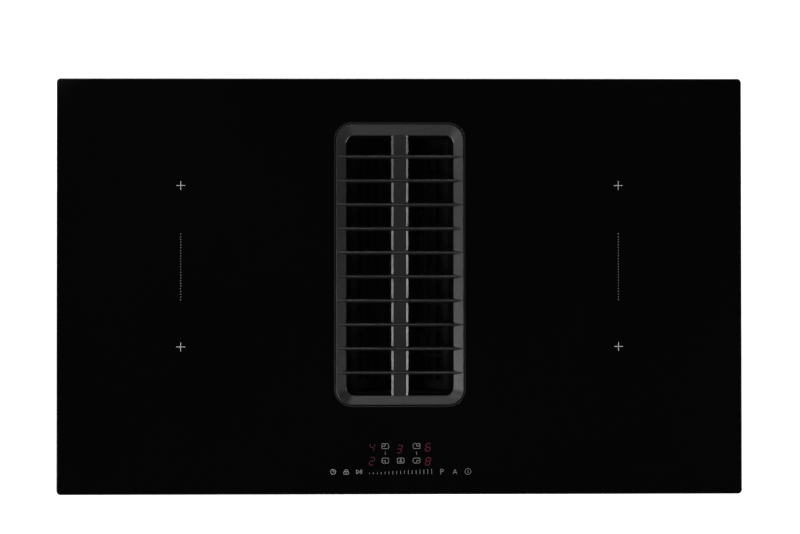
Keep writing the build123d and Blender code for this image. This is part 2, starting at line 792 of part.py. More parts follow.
def make_fan_motor():
    """Motor can on a flange below the scroll, bored for its two bushes."""
    can = post(fan_x, fan_y, motor_r, motor_flange_bottom, motor_top)
    can += post(fan_x, fan_y, motor_flange_r, motor_flange_bottom, motor_mount_bottom)
    can += post(fan_x, fan_y, motor_cap_r, motor_low, motor_flange_bottom)
    return can - post(fan_x, fan_y, bush_r, motor_flange_bottom, motor_top + eps)


def make_motor_mounts():
    """Three rubber buffers between the scroll floor and the motor flange."""
    mounts = [Pos(fan_x, fan_y) * Rot(0, 0, 120 * k) * post(motor_mount_ring_r, 0, motor_mount_r,
                                                            motor_mount_bottom, scroll_bottom)
              for k in range(3)]
    return Compound(children=mounts)


def make_fan_bushes():
    """Two sintered bushes pressed into the motor, one at each end of its bore."""
    hole = post(fan_x, fan_y, shaft_r + shaft_clearance, motor_flange_bottom - eps, motor_top + eps)
    low = post(fan_x, fan_y, bush_r, motor_flange_bottom + motor_flange_thick,
               motor_flange_bottom + motor_flange_thick + bush_height)
    high = post(fan_x, fan_y, bush_r, motor_top - bush_height, motor_top)
    return Compound(children=[low - hole, high - hole])


def make_fan_shaft():
    """Steel shaft that carries the impeller and runs in the two bushes."""
    return post(fan_x, fan_y, shaft_r, motor_flange_bottom + motor_flange_thick,
                cup_top - hub_wall + boss_height)


def make_outlet_adapter():
    """Moulded transition from the scroll's outlet to a spigot for flat duct."""
    y0 = scroll_outlet_y
    y1 = y0 + adapter_flange_thick
    y2 = y1 + adapter_length
    y3 = y2 + spigot_length
    mid_x = (outlet_x0 + outlet_x1) / 2
    mid_z = (scroll_floor + cover_bottom) / 2
    width = outlet_x1 - outlet_x0
    height = cover_bottom - scroll_floor
    wide = 2 * spigot_wall

    def mouth(y, x, size_x, size_z, radius):
        plane = Plane(origin=(x, y, mid_z), x_dir=(1, 0, 0), z_dir=(0, 1, 0))
        return plane * RectangleRounded(size_x, size_z, radius)

    def run(grow, start, end):
        near = mouth(start, mid_x, width + grow, height + grow, least_corner_r)
        middle = mouth(y2, spigot_x, spigot_width - wide + grow, spigot_height - wide + grow, spigot_corner_r)
        straight = extrude(middle, end - y2)
        return loft([near.face(), middle.face()], ruled=True) + straight

    body = run(wide, y0, y3)
    reach = adapter_flange * 2
    body += extrude(mouth(y0, mid_x, width + reach, height + 2 * scroll_wall, least_corner_r),
                    adapter_flange_thick)
    return body - run(0, y0, y3)


# ==== induction halves (side -1 is the left one)

def half_slab(side, x0, x1, y0, y1, z0, z1):
    """A block given for the right half, mirrored to the left where side is -1."""
    x_a, x_b = sorted((side * x0, side * x1))
    return slab(x_a, x_b, y0, y1, z0, z1)


def fan_place(side):
    """Centre of the cooling fan of one half."""
    reach = fan_frame_size / 2 + fan_edge_gap
    return side * (casing_outer_x - reach), -casing_depth / 2 + reach


def make_casing(side):
    """Bent steel tray with rounded upright bends and a slotted field under the cooling fan."""
    x_a, x_b = sorted((side * casing_inner_x, side * casing_outer_x))
    y = casing_depth / 2
    tray = column(plan_box(x_a, x_b, -y, y, casing_bend_r), casing_bottom, frame_leg_z)
    tray -= column(plan_box(x_a + casing_wall, x_b - casing_wall, -y + casing_wall, y - casing_wall,
                            casing_bend_r - casing_wall), casing_floor, frame_leg_z + eps)
    tray -= screw_holes(casing_screw_r)
    vent_x, vent_y = fan_place(side)
    for slot in GridLocations(0, vent_pitch, 1, vent_rows):
        tray -= Pos(vent_x, vent_y, casing_bottom + casing_wall / 2) * slot * Box(vent_length, vent_width,
                                                                                 2 * casing_wall)
    return tray


def make_coil_plate(side):
    """Aluminium sheet that carries both coils of a half, on four bent legs."""
    edge = casing_wall + plate_edge_gap
    x0 = casing_inner_x + edge
    x1 = casing_outer_x - edge
    y1 = casing_depth / 2 - edge
    plate = half_slab(side, x0, x1, -y1, y1, plate_bottom, ferrite_bottom)
    for y in zone_rows:
        plate -= post(side * zone_x, y, plate_hole_r, plate_bottom - eps, ferrite_bottom + eps)
    for end in (-1, 1):
        for x in (x0, x1 - plate_leg):
            y_a, y_b = sorted((end * y1, end * (y1 - plate_thick)))
            plate += half_slab(side, x, x + plate_leg, y_a, y_b, casing_floor, plate_bottom)
    return plate


def coil_plan(grow):
    """A coil's outer outline, grown by one distance, about the coil's centre."""
    return RectangleRounded(coil_width + 2 * grow, coil_depth + 2 * grow, coil_corner_r + grow)


def coil_hole(grow):
    """The open middle of a coil."""
    return RectangleRounded(coil_hole_width + 2 * grow, coil_hole_depth + 2 * grow, coil_hole_r + grow)


def sensor_hole():
    """Square hole that the sensor stands in."""
    return Rectangle(2 * (sensor_r + sensor_gap), 2 * (sensor_r + sensor_gap))


def make_coil(side, y):
    """Flat winding of stranded wire, sealed under the glass."""
    return Pos(side * zone_x, y) * column(coil_plan(0) - coil_hole(0), coil_bottom, coil_top)


def zone_places():
    """Centres of the four zones."""
    return [(side * zone_x, y) for side in (-1, 1) for y in zone_rows]


def make_coil_formers():
    """Moulded discs under the coils, with a central well for the sensor."""
    disc = column(coil_plan(former_reach) - sensor_hole(), former_bottom, coil_bottom)
    return Compound(children=[Pos(x, y) * disc for x, y in zone_places()])


def make_mica_sheets():
    """Insulating sheet on each coil, a rectangle with its corners cut off."""
    outline = chamfer(Rectangle(coil_width, coil_depth).vertices(), mica_corner)
    sheet = column(outline - sensor_hole(), coil_top, coil_top + mica_thick)
    return Compound(children=[Pos(x, y) * sheet for x, y in zone_places()])


def make_ferrite_bars():
    """Ferrite bars in a star under each coil."""
    bars = []
    for x, y in zone_places():
        for k in range(ferrite_count):
            bar = slab(ferrite_start, ferrite_start + ferrite_length, -ferrite_width / 2, ferrite_width / 2,
                       ferrite_bottom, former_bottom)
            bars.append(Pos(x, y) * Rot(0, 0, 360 * k / ferrite_count) * bar)
    return Compound(children=bars)


def make_coil_sensors():
    """Temperature sensor on a strip under the plate, pressed up against the glass in each coil's middle."""
    reach = plate_hole_r + sensor_r
    return Compound(children=[post(x, y, sensor_r, plate_bottom, glass_bottom) +
                              slab(x - reach, x + reach, y - sensor_r, y + sensor_r,
                                   plate_bottom - plate_thick, plate_bottom)
                              for x, y in zone_places()])


def make_power_board(side):
    """Circuit board on four spacers; each zone has a choke, two film capacitors and a relay."""
    edge = casing_wall + board_gap
    x0 = casing_inner_x + edge
    x1 = casing_outer_x - edge
    board = half_slab(side, x0, x1, board_front_y, board_rear_y, board_bottom, board_top)
    inset = 2 * spacer_r
    for x in (x0 + inset, x1 - inset):
        for y in (board_front_y + inset, board_rear_y - inset):
            board += pillar(side * x, y, spacer_r, casing_floor, board_bottom)
    for y in board_rows:
        board += post(side * (x0 + 2 * choke_r), y, choke_r, board_top, board_top + choke_height)
        for k in range(2):
            can_x = x0 + 4 * choke_r
            can_y = y + k * film_capacitor_pitch
            board += half_slab(side, can_x, can_x + film_capacitor_length, can_y,
                               can_y + film_capacitor_width, board_top, board_top + capacitor_height)
        relay_x = x0 + 2 * choke_r
        relay_y = y - 3 * choke_r
        board += half_slab(side, relay_x, relay_x + 2 * relay_size, relay_y, relay_y + relay_size, board_top,
                           board_top + relay_size)
    return board


def make_heat_sink(side):
    """Extruded heat sink: a base plate with a comb of upright fins."""
    x1 = casing_outer_x - casing_wall - board_gap
    x0 = x1 - sink_width
    pitch = (sink_width - sink_fin) / (sink_fin_count - 1)
    sink = half_slab(side, x0, x1, inlet_y - sink_length / 2, inlet_y + sink_length / 2, board_top,
                     board_top + sink_base)
    for k in range(sink_fin_count):
        fin_x = x0 + k * pitch
        sink += half_slab(side, fin_x, fin_x + sink_fin, inlet_y - sink_length / 2, inlet_y + sink_length / 2,
                          board_top, board_top + sink_height)
    return sink


def make_cooling_frame(side):
    """Square frame of a flat cooling fan, with four struts to the hub that holds the bush."""
    outline = RectangleRounded(fan_frame_size, fan_frame_size, fan_frame_corner_r) - Circle(fan_frame_bore_r)
    frame = column(outline, 0, fan_frame_height)
    hub = Circle(fan_frame_hub_r)
    bars = Rot(0, 0, 45) * (Rectangle(2 * fan_frame_bore_r + fan_strut, fan_strut) +
                            Rectangle(fan_strut, 2 * fan_frame_bore_r + fan_strut))
    frame += column(hub + bars, 0, fan_frame_floor)
    frame += post(0, 0, fan_frame_hub_r / 2, 0, fan_frame_height / 2)
    frame -= post(0, 0, rotor_pin_r + pin_clearance, -eps, fan_frame_height)
    return Pos(*fan_place(side), casing_floor) * frame


def make_cooling_rotor(side):
    """Rotor with pitched blades round a cup hub, on a steel pin."""
    low = fan_frame_floor + rotor_lift
    high = fan_frame_height - rotor_lift
    tip_r = fan_frame_bore_r - rotor_tip_gap
    span = tip_r - rotor_hub_r
    blades = []
    for k in range(rotor_blades):
        blade = Pos(rotor_hub_r + span / 2 - 1, 0, (low + high) / 2) * Rot(rotor_pitch_deg, 0, 0) * \
            Box(span + 2, 1.2 * (high - low), rotor_blade_thick)
        blades.append(Rot(0, 0, 360 * k / rotor_blades) * blade)
    rotor = Part() + blades
    rotor &= column(Circle(tip_r), low, high)
    cup = column(Circle(rotor_hub_r), low, high)
    cup -= column(Circle(fan_frame_hub_r / 2 + rotor_tip_gap), low - eps, fan_frame_height / 2 + rotor_lift)
    rotor = rotor - column(Circle(rotor_hub_r - eps), low, high) + cup
    rotor += post(0, 0, rotor_pin_r, fan_frame_floor, high - rotor_lift)
    return Pos(*fan_place(side), casing_floor) * rotor


# ==== touch control

tray_rear_y = inlet_y - grille_length / 2 - (cutout_grow - glue_gap) - flange_reach - tray_rear_gap
tray_front_y = -casing_depth / 2 + tray_front_gap
touch_board_top = glass_bottom - touch_board_drop
touch_board_bottom = touch_board_top - board_thick


def make_control_tray():
    """Moulded tray under the glass that holds the touch board on four posts."""
    low = glass_bottom - tray_height
    tray = slab(-tray_half_width - key_reach, tray_half_width + key_reach, tray_front_y, tray_rear_y, low,
                glass_bottom)
    inner_x = tray_half_width + key_reach - tray_wall
    tray -= slab(-inner_x, inner_x, tray_front_y + tray_wall, tray_rear_y - tray_wall, low + tray_wall,
                 glass_bottom + eps)
    for x in (-tray_half_width, tray_half_width):
        for y in (tray_front_y + 2 * tray_wall + spacer_r, tray_rear_y - 2 * tray_wall - spacer_r):
            tray += pillar(x, y, spacer_r, low + tray_wall, touch_board_bottom)
    return tray


def make_touch_board():
    """Circuit board below the printed controls."""
    return slab(-tray_half_width - tray_wall, tray_half_width + tray_wall, tray_front_y + 2 * tray_wall,
                tray_rear_y - 2 * tray_wall, touch_board_bottom, touch_board_top)


def make_zone_displays():
    """Five seven-segment display modules that shine through the glass."""
    places = [(digit_left_x, digit_rear_y), (digit_left_x, digit_front_y), (digit_middle_x, digit_rear_y),
              (digit_right_x, digit_rear_y), (digit_right_x, digit_front_y)]
    return Compound(children=[slab(x - digit_width / 2, x + digit_width / 2, y - digit_height / 2,
                                   y + digit_height / 2, touch_board_top, glass_bottom) for x, y in places])


def make_touch_pads():
    """Conductive foam pads between the board and the glass: six square keys and one slider strip."""
    pads = [pillar(x, key_row_y, touch_pad, touch_board_top, glass_bottom) for x in key_places]
    pads.append(slab(slider_x - slider_length / 2, slider_x + slider_length / 2,
                     key_row_y - touch_pad, key_row_y + touch_pad, touch_board_top, glass_bottom))
    return Compound(children=pads)


# ==== fan control, mains connection, clamps and screws

control_box_x1 = -casing_inner_x - control_box_wall


def make_fan_control_box():
    """Moulded box for the fan's electronics, hung under the left casing."""
    y = control_box_length / 2
    x0 = control_box_x1 - control_box_width
    low = casing_bottom - control_box_height
    box = column(plan_box(x0, control_box_x1, fan_y - y, fan_y + y, 2 * control_box_wall), low, casing_bottom)
    wall = control_box_wall
    return box - column(plan_box(x0 + wall, control_box_x1 - wall, fan_y - y + wall, fan_y + y - wall, wall),
                        low + wall, casing_bottom + eps)


def make_fan_control_board():
    """The fan's board with its spacers, in the control box."""
    y = control_box_length / 2 - control_box_wall - control_board_gap
    x1 = control_box_x1 - control_box_wall - control_board_gap
    x0 = control_box_x1 - control_box_width + control_box_wall + control_board_gap
    floor = casing_bottom - control_box_height + control_box_wall
    low = floor + board_rise
    board = slab(x0, x1, fan_y - y, fan_y + y, low, low + board_thick)
    inset = 2 * spacer_r
    for x in (x0 + inset, x1 - inset):
        for side in (-1, 1):
            board += pillar(x, fan_y + side * (y - inset), spacer_r, floor, low)
    top = low + board_thick
    board += slab(x0 + inset, x0 + inset + relay_size, fan_y - relay_size, fan_y + relay_size, top,
                  top + relay_size)
    return board + post((x0 + x1) / 2 + capacitor_r, fan_y, capacitor_r, top, top + capacitor_height)


terminal_rear = casing_depth / 2
terminal_front = terminal_rear - terminal_length
terminal_low = casing_bottom - terminal_height
gland_z = casing_bottom - terminal_height / 2


def make_terminal_cover():
    """Open-topped box that covers the mains terminals under the left casing."""
    x0 = terminal_x - terminal_width / 2
    x1 = terminal_x + terminal_width / 2
    wall = terminal_wall
    cover = column(plan_box(x0, x1, terminal_front, terminal_rear, 2 * wall), terminal_low, casing_bottom)
    cover -= column(plan_box(x0 + wall, x1 - wall, terminal_front + wall, terminal_rear - wall, wall),
                    terminal_low + wall, casing_bottom + eps)
    hole = Pos(terminal_x, terminal_rear, gland_z) * Rot(90, 0, 0) * Cylinder(gland_r, 4 * wall)
    return cover - hole


def make_terminal_block():
    """Row of screw terminals with square wire entries."""
    half = terminal_ways * terminal_way / 2
    y0 = terminal_front + 2 * terminal_wall
    y1 = y0 + terminal_block_length
    low = casing_bottom - terminal_block_height
    block = slab(terminal_x - half, terminal_x + half, y0, y1, low, casing_bottom)
    for k in range(terminal_ways):
        x = terminal_x - half + (k + 0.5) * terminal_way
        block -= pillar(x, (y0 + y1) / 2, terminal_way / 3, low - eps, low + terminal_block_height / 2)
    return block


def make_cable_gland():
    """Threaded gland in the cover's rear wall, with a collar inside and a domed nut outside."""
    plane = Plane(origin=(terminal_x, terminal_rear - terminal_wall, gland_z), x_dir=(1, 0, 0),
                  z_dir=(0, 1, 0))
    body = Cylinder(gland_r, terminal_wall + gland_length - gland_nut,
                    align=(Align.CENTER, Align.CENTER, Align.MIN))
    nut = extrude(RegularPolygon(gland_nut_r, 6), gland_nut)
    nut = chamfer(nut.faces().sort_by(Axis.Z)[-1].edges(), least_corner_r)
    body += Pos(0, 0, terminal_wall + gland_length - gland_nut) * nut
    collar = Cylinder(gland_nut_r, gland_nut / 2, align=(Align.CENTER, Align.CENTER, Align.MAX))
    bore = Cylinder(gland_bore_r, 4 * gland_length)
    return plane * (body + collar - bore)


def clamp_places():
    """Axis of each clamp screw, with the side of the casing it stands on."""
    return [(side * (casing_outer_x + clamp_offset), end * clamp_y, side, end)
            for side in (-1, 1) for end in (-1, 1)]


def make_clamp_brackets():
    """Bent brackets on the casings' outer walls, each with a threaded tab for the clamp screw."""
    brackets = []
    for x, y, side, _ in clamp_places():
        wall_x = casing_outer_x
        y0 = y - clamp_tab_width / 2
        y1 = y + clamp_tab_width / 2
        bracket = half_slab(side, wall_x, wall_x + clamp_tab, y0, y1, -clamp_bottom, -clamp_top)
        reach = wall_x + clamp_offset + clamp_head_r
        bracket += half_slab(side, wall_x, reach, y0, y1, -clamp_bottom, -clamp_bottom + clamp_tab)
        hole = post(x, y, clamp_screw_r, -clamp_bottom - eps, -clamp_bottom + clamp_tab + eps)
        brackets.append(bracket - hole)
    return Compound(children=brackets)


def make_clamp_screws():
    """Long hexagon-head screws turned from below, each held in the tab of its bracket."""
    head = extrude(RegularPolygon(clamp_head_r, 6), clamp_head)
    return Compound(children=[post(x, y, clamp_screw_r, -clamp_bottom, -clamp_top) +
                              Pos(x, y, -clamp_bottom - clamp_head) * head
                              for x, y, _, _ in clamp_places()])


def make_clamp_claw(x, y, side, end):
    """Claw that swings out under the worktop: a flat arm with a turned-up tip."""
    eye = claw_width / 2
    arm = Pos(x, y, -claw_z) * Cylinder(eye, claw_thick, align=(Align.CENTER, Align.CENTER, Align.MIN))
    y_a, y_b = sorted((y, y - end * claw_length))
    arm += slab(x - eye, x + eye, y_a, y_b, -claw_z, -claw_z + claw_thick)
    y_c, y_d = sorted((y - end * claw_length, y - end * (claw_length - claw_thick)))
    arm += slab(x - eye, x + eye, y_c, y_d, -claw_z, -claw_z + claw_tip)
    return arm - post(x, y, clamp_screw_r + clamp_screw_clearance, -claw_z - eps, -claw_z + claw_tip)


def make_casing_screws():
    """Hexagon-head screws that hold each casing to the down-turned legs of the glass frame."""
    screw = Cylinder(casing_screw_r, casing_screw_length, align=(Align.CENTER, Align.CENTER, Align.MAX))
    screw += extrude(RegularPolygon(casing_screw_head_r, 6), casing_screw_head)
    return Compound(children=[Pos(x, y, z) * Rot(-90 * end, 0, 0) * screw
                              for x, y, z, end in screw_places()])


nodes = {
    "glass_panel": make_glass_panel(),
    "worktop_seal": make_worktop_seal(),
    "glass_frame": make_glass_frame(),
    "grille": make_grille(),
    "inlet_frame": make_inlet_frame(),
    "inlet_seal": make_inlet_seal(),
    "inlet_well": make_inlet_well(),
    "filter_basket": make_filter_basket(),
    "grease_trough": make_grease_trough(),
    "filter_mesh_left": make_filter_mesh(-1),
    "filter_mesh_right": make_filter_mesh(1),
    "collector_lid": make_collector_lid(),
    "collector_housing": make_collector_housing(),
    "tray_runners": make_tray_runners(),
    "overflow_tray": make_overflow_tray(),
    "plenum_duct": make_plenum_duct(),
    "scroll_cover": make_scroll_cover(),
    "scroll_housing": make_scroll_housing(),
    "fan_impeller": make_fan_impeller(),
    "fan_shaft": make_fan_shaft(),
    "fan_motor": make_fan_motor(),
    "fan_bushes": make_fan_bushes(),
    "motor_mounts": make_motor_mounts(),
    "outlet_adapter": make_outlet_adapter(),
    "fan_control_box": make_fan_control_box(),
    "fan_control_board": make_fan_control_board(),
    "coil_formers": make_coil_formers(),
    "mica_sheets": make_mica_sheets(),
    "ferrite_bars": make_ferrite_bars(),
    "coil_sensors": make_coil_sensors(),
    "control_tray": make_control_tray(),
    "touch_board": make_touch_board(),
    "zone_displays": make_zone_displays(),
    "touch_pads": make_touch_pads(),
    "terminal_cover": make_terminal_cover(),
    "terminal_block": make_terminal_block(),
    "cable_gland": make_cable_gland(),
    "clamp_brackets": make_clamp_brackets(),
    "clamp_screws": make_clamp_screws(),
    "casing_screws": make_casing_screws(),
}
for side, half_name in ((-1, "left"), (1, "right")):
    nodes[f"casing_{half_name}"] = make_casing(side)
    nodes[f"coil_plate_{half_name}"] = make_coil_plate(side)
    nodes[f"power_board_{half_name}"] = make_power_board(side)
    nodes[f"heat_sink_{half_name}"] = make_heat_sink(side)
    nodes[f"cooling_frame_{half_name}"] = make_cooling_frame(side)
    nodes[f"cooling_rotor_{half_name}"] = make_cooling_rotor(side)
    for row_name, zone_y in zip(("front", "rear"), zone_rows):
        nodes[f"coil_{row_name}_{half_name}"] = make_coil(side, zone_y)
for claw_x, claw_y, side, end in clamp_places():
    corner = ("front" if end < 0 else "rear") + ("_left" if side < 0 else "_right")
    nodes[f"clamp_claw_{corner}"] = make_clamp_claw(claw_x, claw_y, side, end)

os.makedirs("parts", exist_ok=True)
for name, solid in nodes.items():
    export_step(solid, f"parts/{name}.step")
print(len(nodes), "nodes written")
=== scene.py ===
import math

import bmesh
import bpy
from mathutils import Matrix, Vector
from mathutils.bvhtree import BVHTree


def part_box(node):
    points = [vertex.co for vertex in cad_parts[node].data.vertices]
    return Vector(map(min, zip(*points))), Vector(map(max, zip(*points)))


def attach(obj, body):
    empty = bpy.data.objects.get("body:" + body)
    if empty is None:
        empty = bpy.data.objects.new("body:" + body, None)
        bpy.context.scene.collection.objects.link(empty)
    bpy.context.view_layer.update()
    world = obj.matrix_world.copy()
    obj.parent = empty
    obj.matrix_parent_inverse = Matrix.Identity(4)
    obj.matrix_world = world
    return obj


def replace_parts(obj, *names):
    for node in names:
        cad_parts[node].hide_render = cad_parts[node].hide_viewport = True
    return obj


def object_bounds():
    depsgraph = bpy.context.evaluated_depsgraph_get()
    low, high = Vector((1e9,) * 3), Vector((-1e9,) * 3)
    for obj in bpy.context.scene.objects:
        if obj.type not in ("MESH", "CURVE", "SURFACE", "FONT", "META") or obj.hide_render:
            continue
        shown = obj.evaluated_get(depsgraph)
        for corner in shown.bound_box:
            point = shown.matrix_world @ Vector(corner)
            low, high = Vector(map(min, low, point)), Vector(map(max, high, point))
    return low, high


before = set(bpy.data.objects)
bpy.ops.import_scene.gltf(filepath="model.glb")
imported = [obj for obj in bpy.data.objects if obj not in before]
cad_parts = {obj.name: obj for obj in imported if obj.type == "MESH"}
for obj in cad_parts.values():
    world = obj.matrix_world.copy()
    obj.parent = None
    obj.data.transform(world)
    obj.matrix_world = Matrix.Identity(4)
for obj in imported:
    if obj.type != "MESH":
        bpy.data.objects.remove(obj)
cad_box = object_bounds()

# ==== Induction casings
# Two flat trays of zinc-plated sheet, folded at their sides, that hang under the glass and hold the
# coils. Each has a slotted field in its floor for its cooling fan, and its corners are spot-welded.

mm = 0.001


class Wire:
    """The output of a shader node, which can be used in a Python expression."""

    def __init__(self, finish, socket):
        self.finish = finish
        self.socket = socket

    def maths(self, operation, first, second):
        return self.finish.add("ShaderNodeMath", {"operation": operation}, {0: first, 1: second})

    def __add__(self, other):
        return self.maths("ADD", self, other)

    def __radd__(self, other):
        return self.maths("ADD", other, self)

    def __sub__(self, other):
        return self.maths("SUBTRACT", self, other)

    def __rsub__(self, other):
        return self.maths("SUBTRACT", other, self)

    def __mul__(self, other):
        return self.maths("MULTIPLY", self, other)

    def __rmul__(self, other):
        return self.maths("MULTIPLY", other, self)


class Finish:
    """The material of one finish, with methods that add to its shader."""

    def __init__(self, name, sockets):
        self.material = bpy.data.materials.new(name)
        self.material.use_nodes = True
        self.tree = self.material.node_tree
        self.shader = self.tree.nodes["Principled BSDF"]
        self.normal = None
        self.set(sockets)

    def join(self, socket, value):
        """Gives a socket a value, or links a wire to it."""
        if isinstance(value, Wire):
            self.tree.links.new(value.socket, socket)
        else:
            socket.default_value = value

    def add(self, kind, settings, sockets, output=0):
        """Adds a node: its settings first, then its sockets; returns the wire of one output."""
        node = self.tree.nodes.new(kind)
        for name, value in settings.items():
            setattr(node, name, value)
        for name, value in sockets.items():
            self.join(node.inputs[name], value)
        return Wire(self, node.outputs[output])

    def set(self, sockets):
        """Sets sockets of the main shader."""
        for name, value in sockets.items():
            self.join(self.shader.inputs[name], value)
        return self

    def place(self, stretch=(1, 1, 1)):
        """Object coordinates, stretched along the axes."""
        coordinates = self.add("ShaderNodeTexCoord", {}, {}, "Object")
        return self.add("ShaderNodeMapping", {}, {"Vector": coordinates, "Scale": stretch})

    def noise(self, size, detail=2.0, stretch=(1, 1, 1)):
        """Soft noise whose features have one size, in metres."""
        return self.add("ShaderNodeTexNoise", {},
                        {"Vector": self.place(stretch), "Scale": 1 / size, "Detail": detail})

    def cells(self, size, feature="F1"):
        """Distance in a pattern of cells that have one size, in metres."""
        return self.add("ShaderNodeTexVoronoi", {"feature": feature},
                        {"Vector": self.place(), "Scale": 1 / size}, "Distance")

    def patches(self, size):
        """One random level for each cell of a pattern."""
        colours = self.add("ShaderNodeTexVoronoi", {},
                           {"Vector": self.place(), "Scale": 1 / size}, "Color")
        return self.add("ShaderNodeSeparateColor", {}, {"Color": colours})

    def level(self, value, low, high):
        """A value stretched so that low gives 0 and high gives 1."""
        return self.add("ShaderNodeMapRange", {}, {"Value": value, "From Min": low, "From Max": high})

    def mix(self, mask, first, second):
        """A colour between two colours."""
        return self.add("ShaderNodeMix", {"data_type": "RGBA"}, {0: mask, 6: first, 7: second}, 2)

    def relief(self, height, depth):
        """Raises the surface by a height from 0 to 1 times a depth in metres."""
        sockets = {"Height": height, "Distance": depth}
        if self.normal:
            sockets["Normal"] = self.normal
        self.normal = self.add("ShaderNodeBump", {}, sockets)
        return self.set({"Normal": self.normal})

    def edges(self, reach):
        """1 along convex edges, for wear, and 0 on flats: how far the surface is curved."""
        geometry = self.add("ShaderNodeNewGeometry", {}, {}, "Pointiness")
        return self.level(geometry, 0.5 + 0.3 * reach, 0.5 + reach)


def grey(value, warm=0.0):
    """A grey as a shader colour, a little warmer or cooler."""
    return (value * (1 + warm), value, value * (1 - warm), 1.0)


def zinc_sheet():
    """Zinc-plated steel: faint spangle, rolling lines and dull patches."""
    finish = Finish("zinc_sheet", {"Metallic": 1.0})
    dark_zinc = grey(0.33, warm=-0.02)
    light_zinc = grey(0.46, warm=-0.01)
    dust = grey(0.22, warm=0.03)
    tone = finish.patches(0.011)
    dull = finish.level(finish.noise(0.07, detail=5.0), 0.35, 0.7)
    lines = finish.noise(0.0012, stretch=(0.02, 1, 1))
    specks = finish.level(finish.noise(0.002, detail=4.0), 0.66, 0.74)
    plating = finish.mix(tone * 0.35 + dull * 0.5, dark_zinc, light_zinc)
    finish.set({"Base Color": finish.mix(specks * 0.5, plating, dust),
                "Roughness": 0.28 + dull * 0.16 + tone * 0.1 + specks * 0.1})
    return finish.relief(lines, 0.00001).relief(tone, 0.000012)


merge_reach = 0.06 * mm
flat_angle = 1.2


def soft_copy(node, width, segments=2, angle=35):
    """A merged copy of a CAD node with its sharp edges rounded."""
    form = bmesh.new()
    form.from_mesh(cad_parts[node].data)
    bmesh.ops.remove_doubles(form, verts=form.verts, dist=merge_reach)
    bmesh.ops.dissolve_limit(form, angle_limit=math.radians(flat_angle), verts=form.verts, edges=form.edges,
                             use_dissolve_boundaries=False, delimit=set())
    sharp = [edge for edge in form.edges if edge.calc_face_angle(0) > math.radians(angle)]
    bmesh.ops.bevel(form, geom=sharp, offset=width, offset_type="OFFSET", segments=segments, profile=0.5,
                    affect="EDGES", clamp_overlap=False, material=-1)
    return form


fold_crease = 50
fine_crease = 32


def piece(name, form, finish, body, crease=fold_crease):
    """A finished piece made of a form; it rides on a body, and its folds past the crease stay sharp."""
    mesh = bpy.data.meshes.new(name)
    for face in form.faces:
        face.smooth = True
    for edge in form.edges:
        edge.smooth = edge.smooth and edge.calc_face_angle(0) < math.radians(crease)
    form.to_mesh(mesh)
    form.free()
    mesh.materials.append(finish.material)
    made = bpy.data.objects.new(name, mesh)
    bpy.context.scene.collection.objects.link(made)
    shading = made.modifiers.new("face_weight", "WEIGHTED_NORMAL")
    shading.keep_sharp = True
    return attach(made, body)


def soften(name, node, width, finish, body="root", segments=2):
    """A softened copy that stands for its CAD node."""
    crease = fold_crease if segments < 3 else fine_crease
    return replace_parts(piece(name, soft_copy(node, width, segments), finish, body, crease), node)


def dress(finish, *nodes):
    """Gives CAD nodes a finish."""
    for node in nodes:
        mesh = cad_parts[node].data
        mesh.materials.clear()
        mesh.materials.append(finish.material)


class Fittings:
    """Small features of one finish, in millimetres, gathered in one form."""

    def __init__(self):
        self.form = bmesh.new()

    def settle(self, verts, place, out):
        """Turns new vertices from +Z to a direction and moves them to a place."""
        turn = Vector((0, 0, 1)).rotation_difference(Vector(out)).to_matrix().to_4x4()
        bmesh.ops.transform(self.form, matrix=Matrix.Translation(place) @ turn, verts=verts)

    def block(self, low, high, edge=0.3, place=Matrix.Identity(4)):
        """A rounded bar between two corners, which may stand in a place of its own."""
        verts = bmesh.ops.create_cube(self.form, size=1)["verts"]
        size = Vector(high) - Vector(low)
        middle = (Vector(high) + Vector(low)) / 2
        bmesh.ops.transform(self.form, verts=verts,
                            matrix=place @ Matrix.Translation(middle) @ Matrix.Diagonal((*size, 1)))
        lines = list({line for vert in verts for line in vert.link_edges})
        bmesh.ops.bevel(self.form, geom=lines, offset=edge, offset_type="OFFSET", segments=2, profile=0.5,
                        affect="EDGES", clamp_overlap=True, material=-1)

    def stud(self, place, out, radii, heights, segments=24):
        """A turned form on a surface: one radius at each height, closed at its top."""
        profile = [self.form.verts.new((radius, 0, height)) for radius, height in zip(radii, heights)]
        profile.append(self.form.verts.new((0, 0, heights[-1])))
        lines = [self.form.edges.new(pair) for pair in zip(profile, profile[1:])]
        before = set(self.form.verts) - set(profile)
        bmesh.ops.spin(self.form, geom=profile + lines, cent=(0, 0, 0), axis=(0, 0, 1), angle=math.tau,
                       steps=segments, use_merge=True)
        verts = [vert for vert in self.form.verts if vert not in before]
        bmesh.ops.remove_doubles(self.form, verts=verts, dist=0.001)
        verts = [vert for vert in self.form.verts if vert not in before]
        faces = list({face for vert in verts for face in vert.link_faces})
        bmesh.ops.recalc_face_normals(self.form, faces=faces)
        self.settle(verts, place, out)

    def screw(self, place, out, radius):
        """A pan head, with a thin cross on it for its recess."""
        self.stud(place, out, (radius, radius, radius * 0.86, radius * 0.55),
                  (-0.2, radius * 0.3, radius * 0.55, radius * 0.68))
        for turn in (0, 90):
            verts = bmesh.ops.create_cube(self.form, size=1)["verts"]
            size = Matrix.Diagonal((radius, radius * 0.24, radius * 0.05, 1))
            lift = Matrix.Translation((0, 0, radius * 0.7))
            swing = Matrix.Rotation(math.radians(turn), 4, "Z")
            bmesh.ops.transform(self.form, matrix=swing @ lift @ size, verts=verts)
            self.settle(verts, place, out)

    def finish(self, name, finish, slot):
        """Makes a fixed piece of all that was gathered."""
        bmesh.ops.scale(self.form, vec=(mm, mm, mm), verts=self.form.verts)
        return piece(name, self.form, finish, "root")


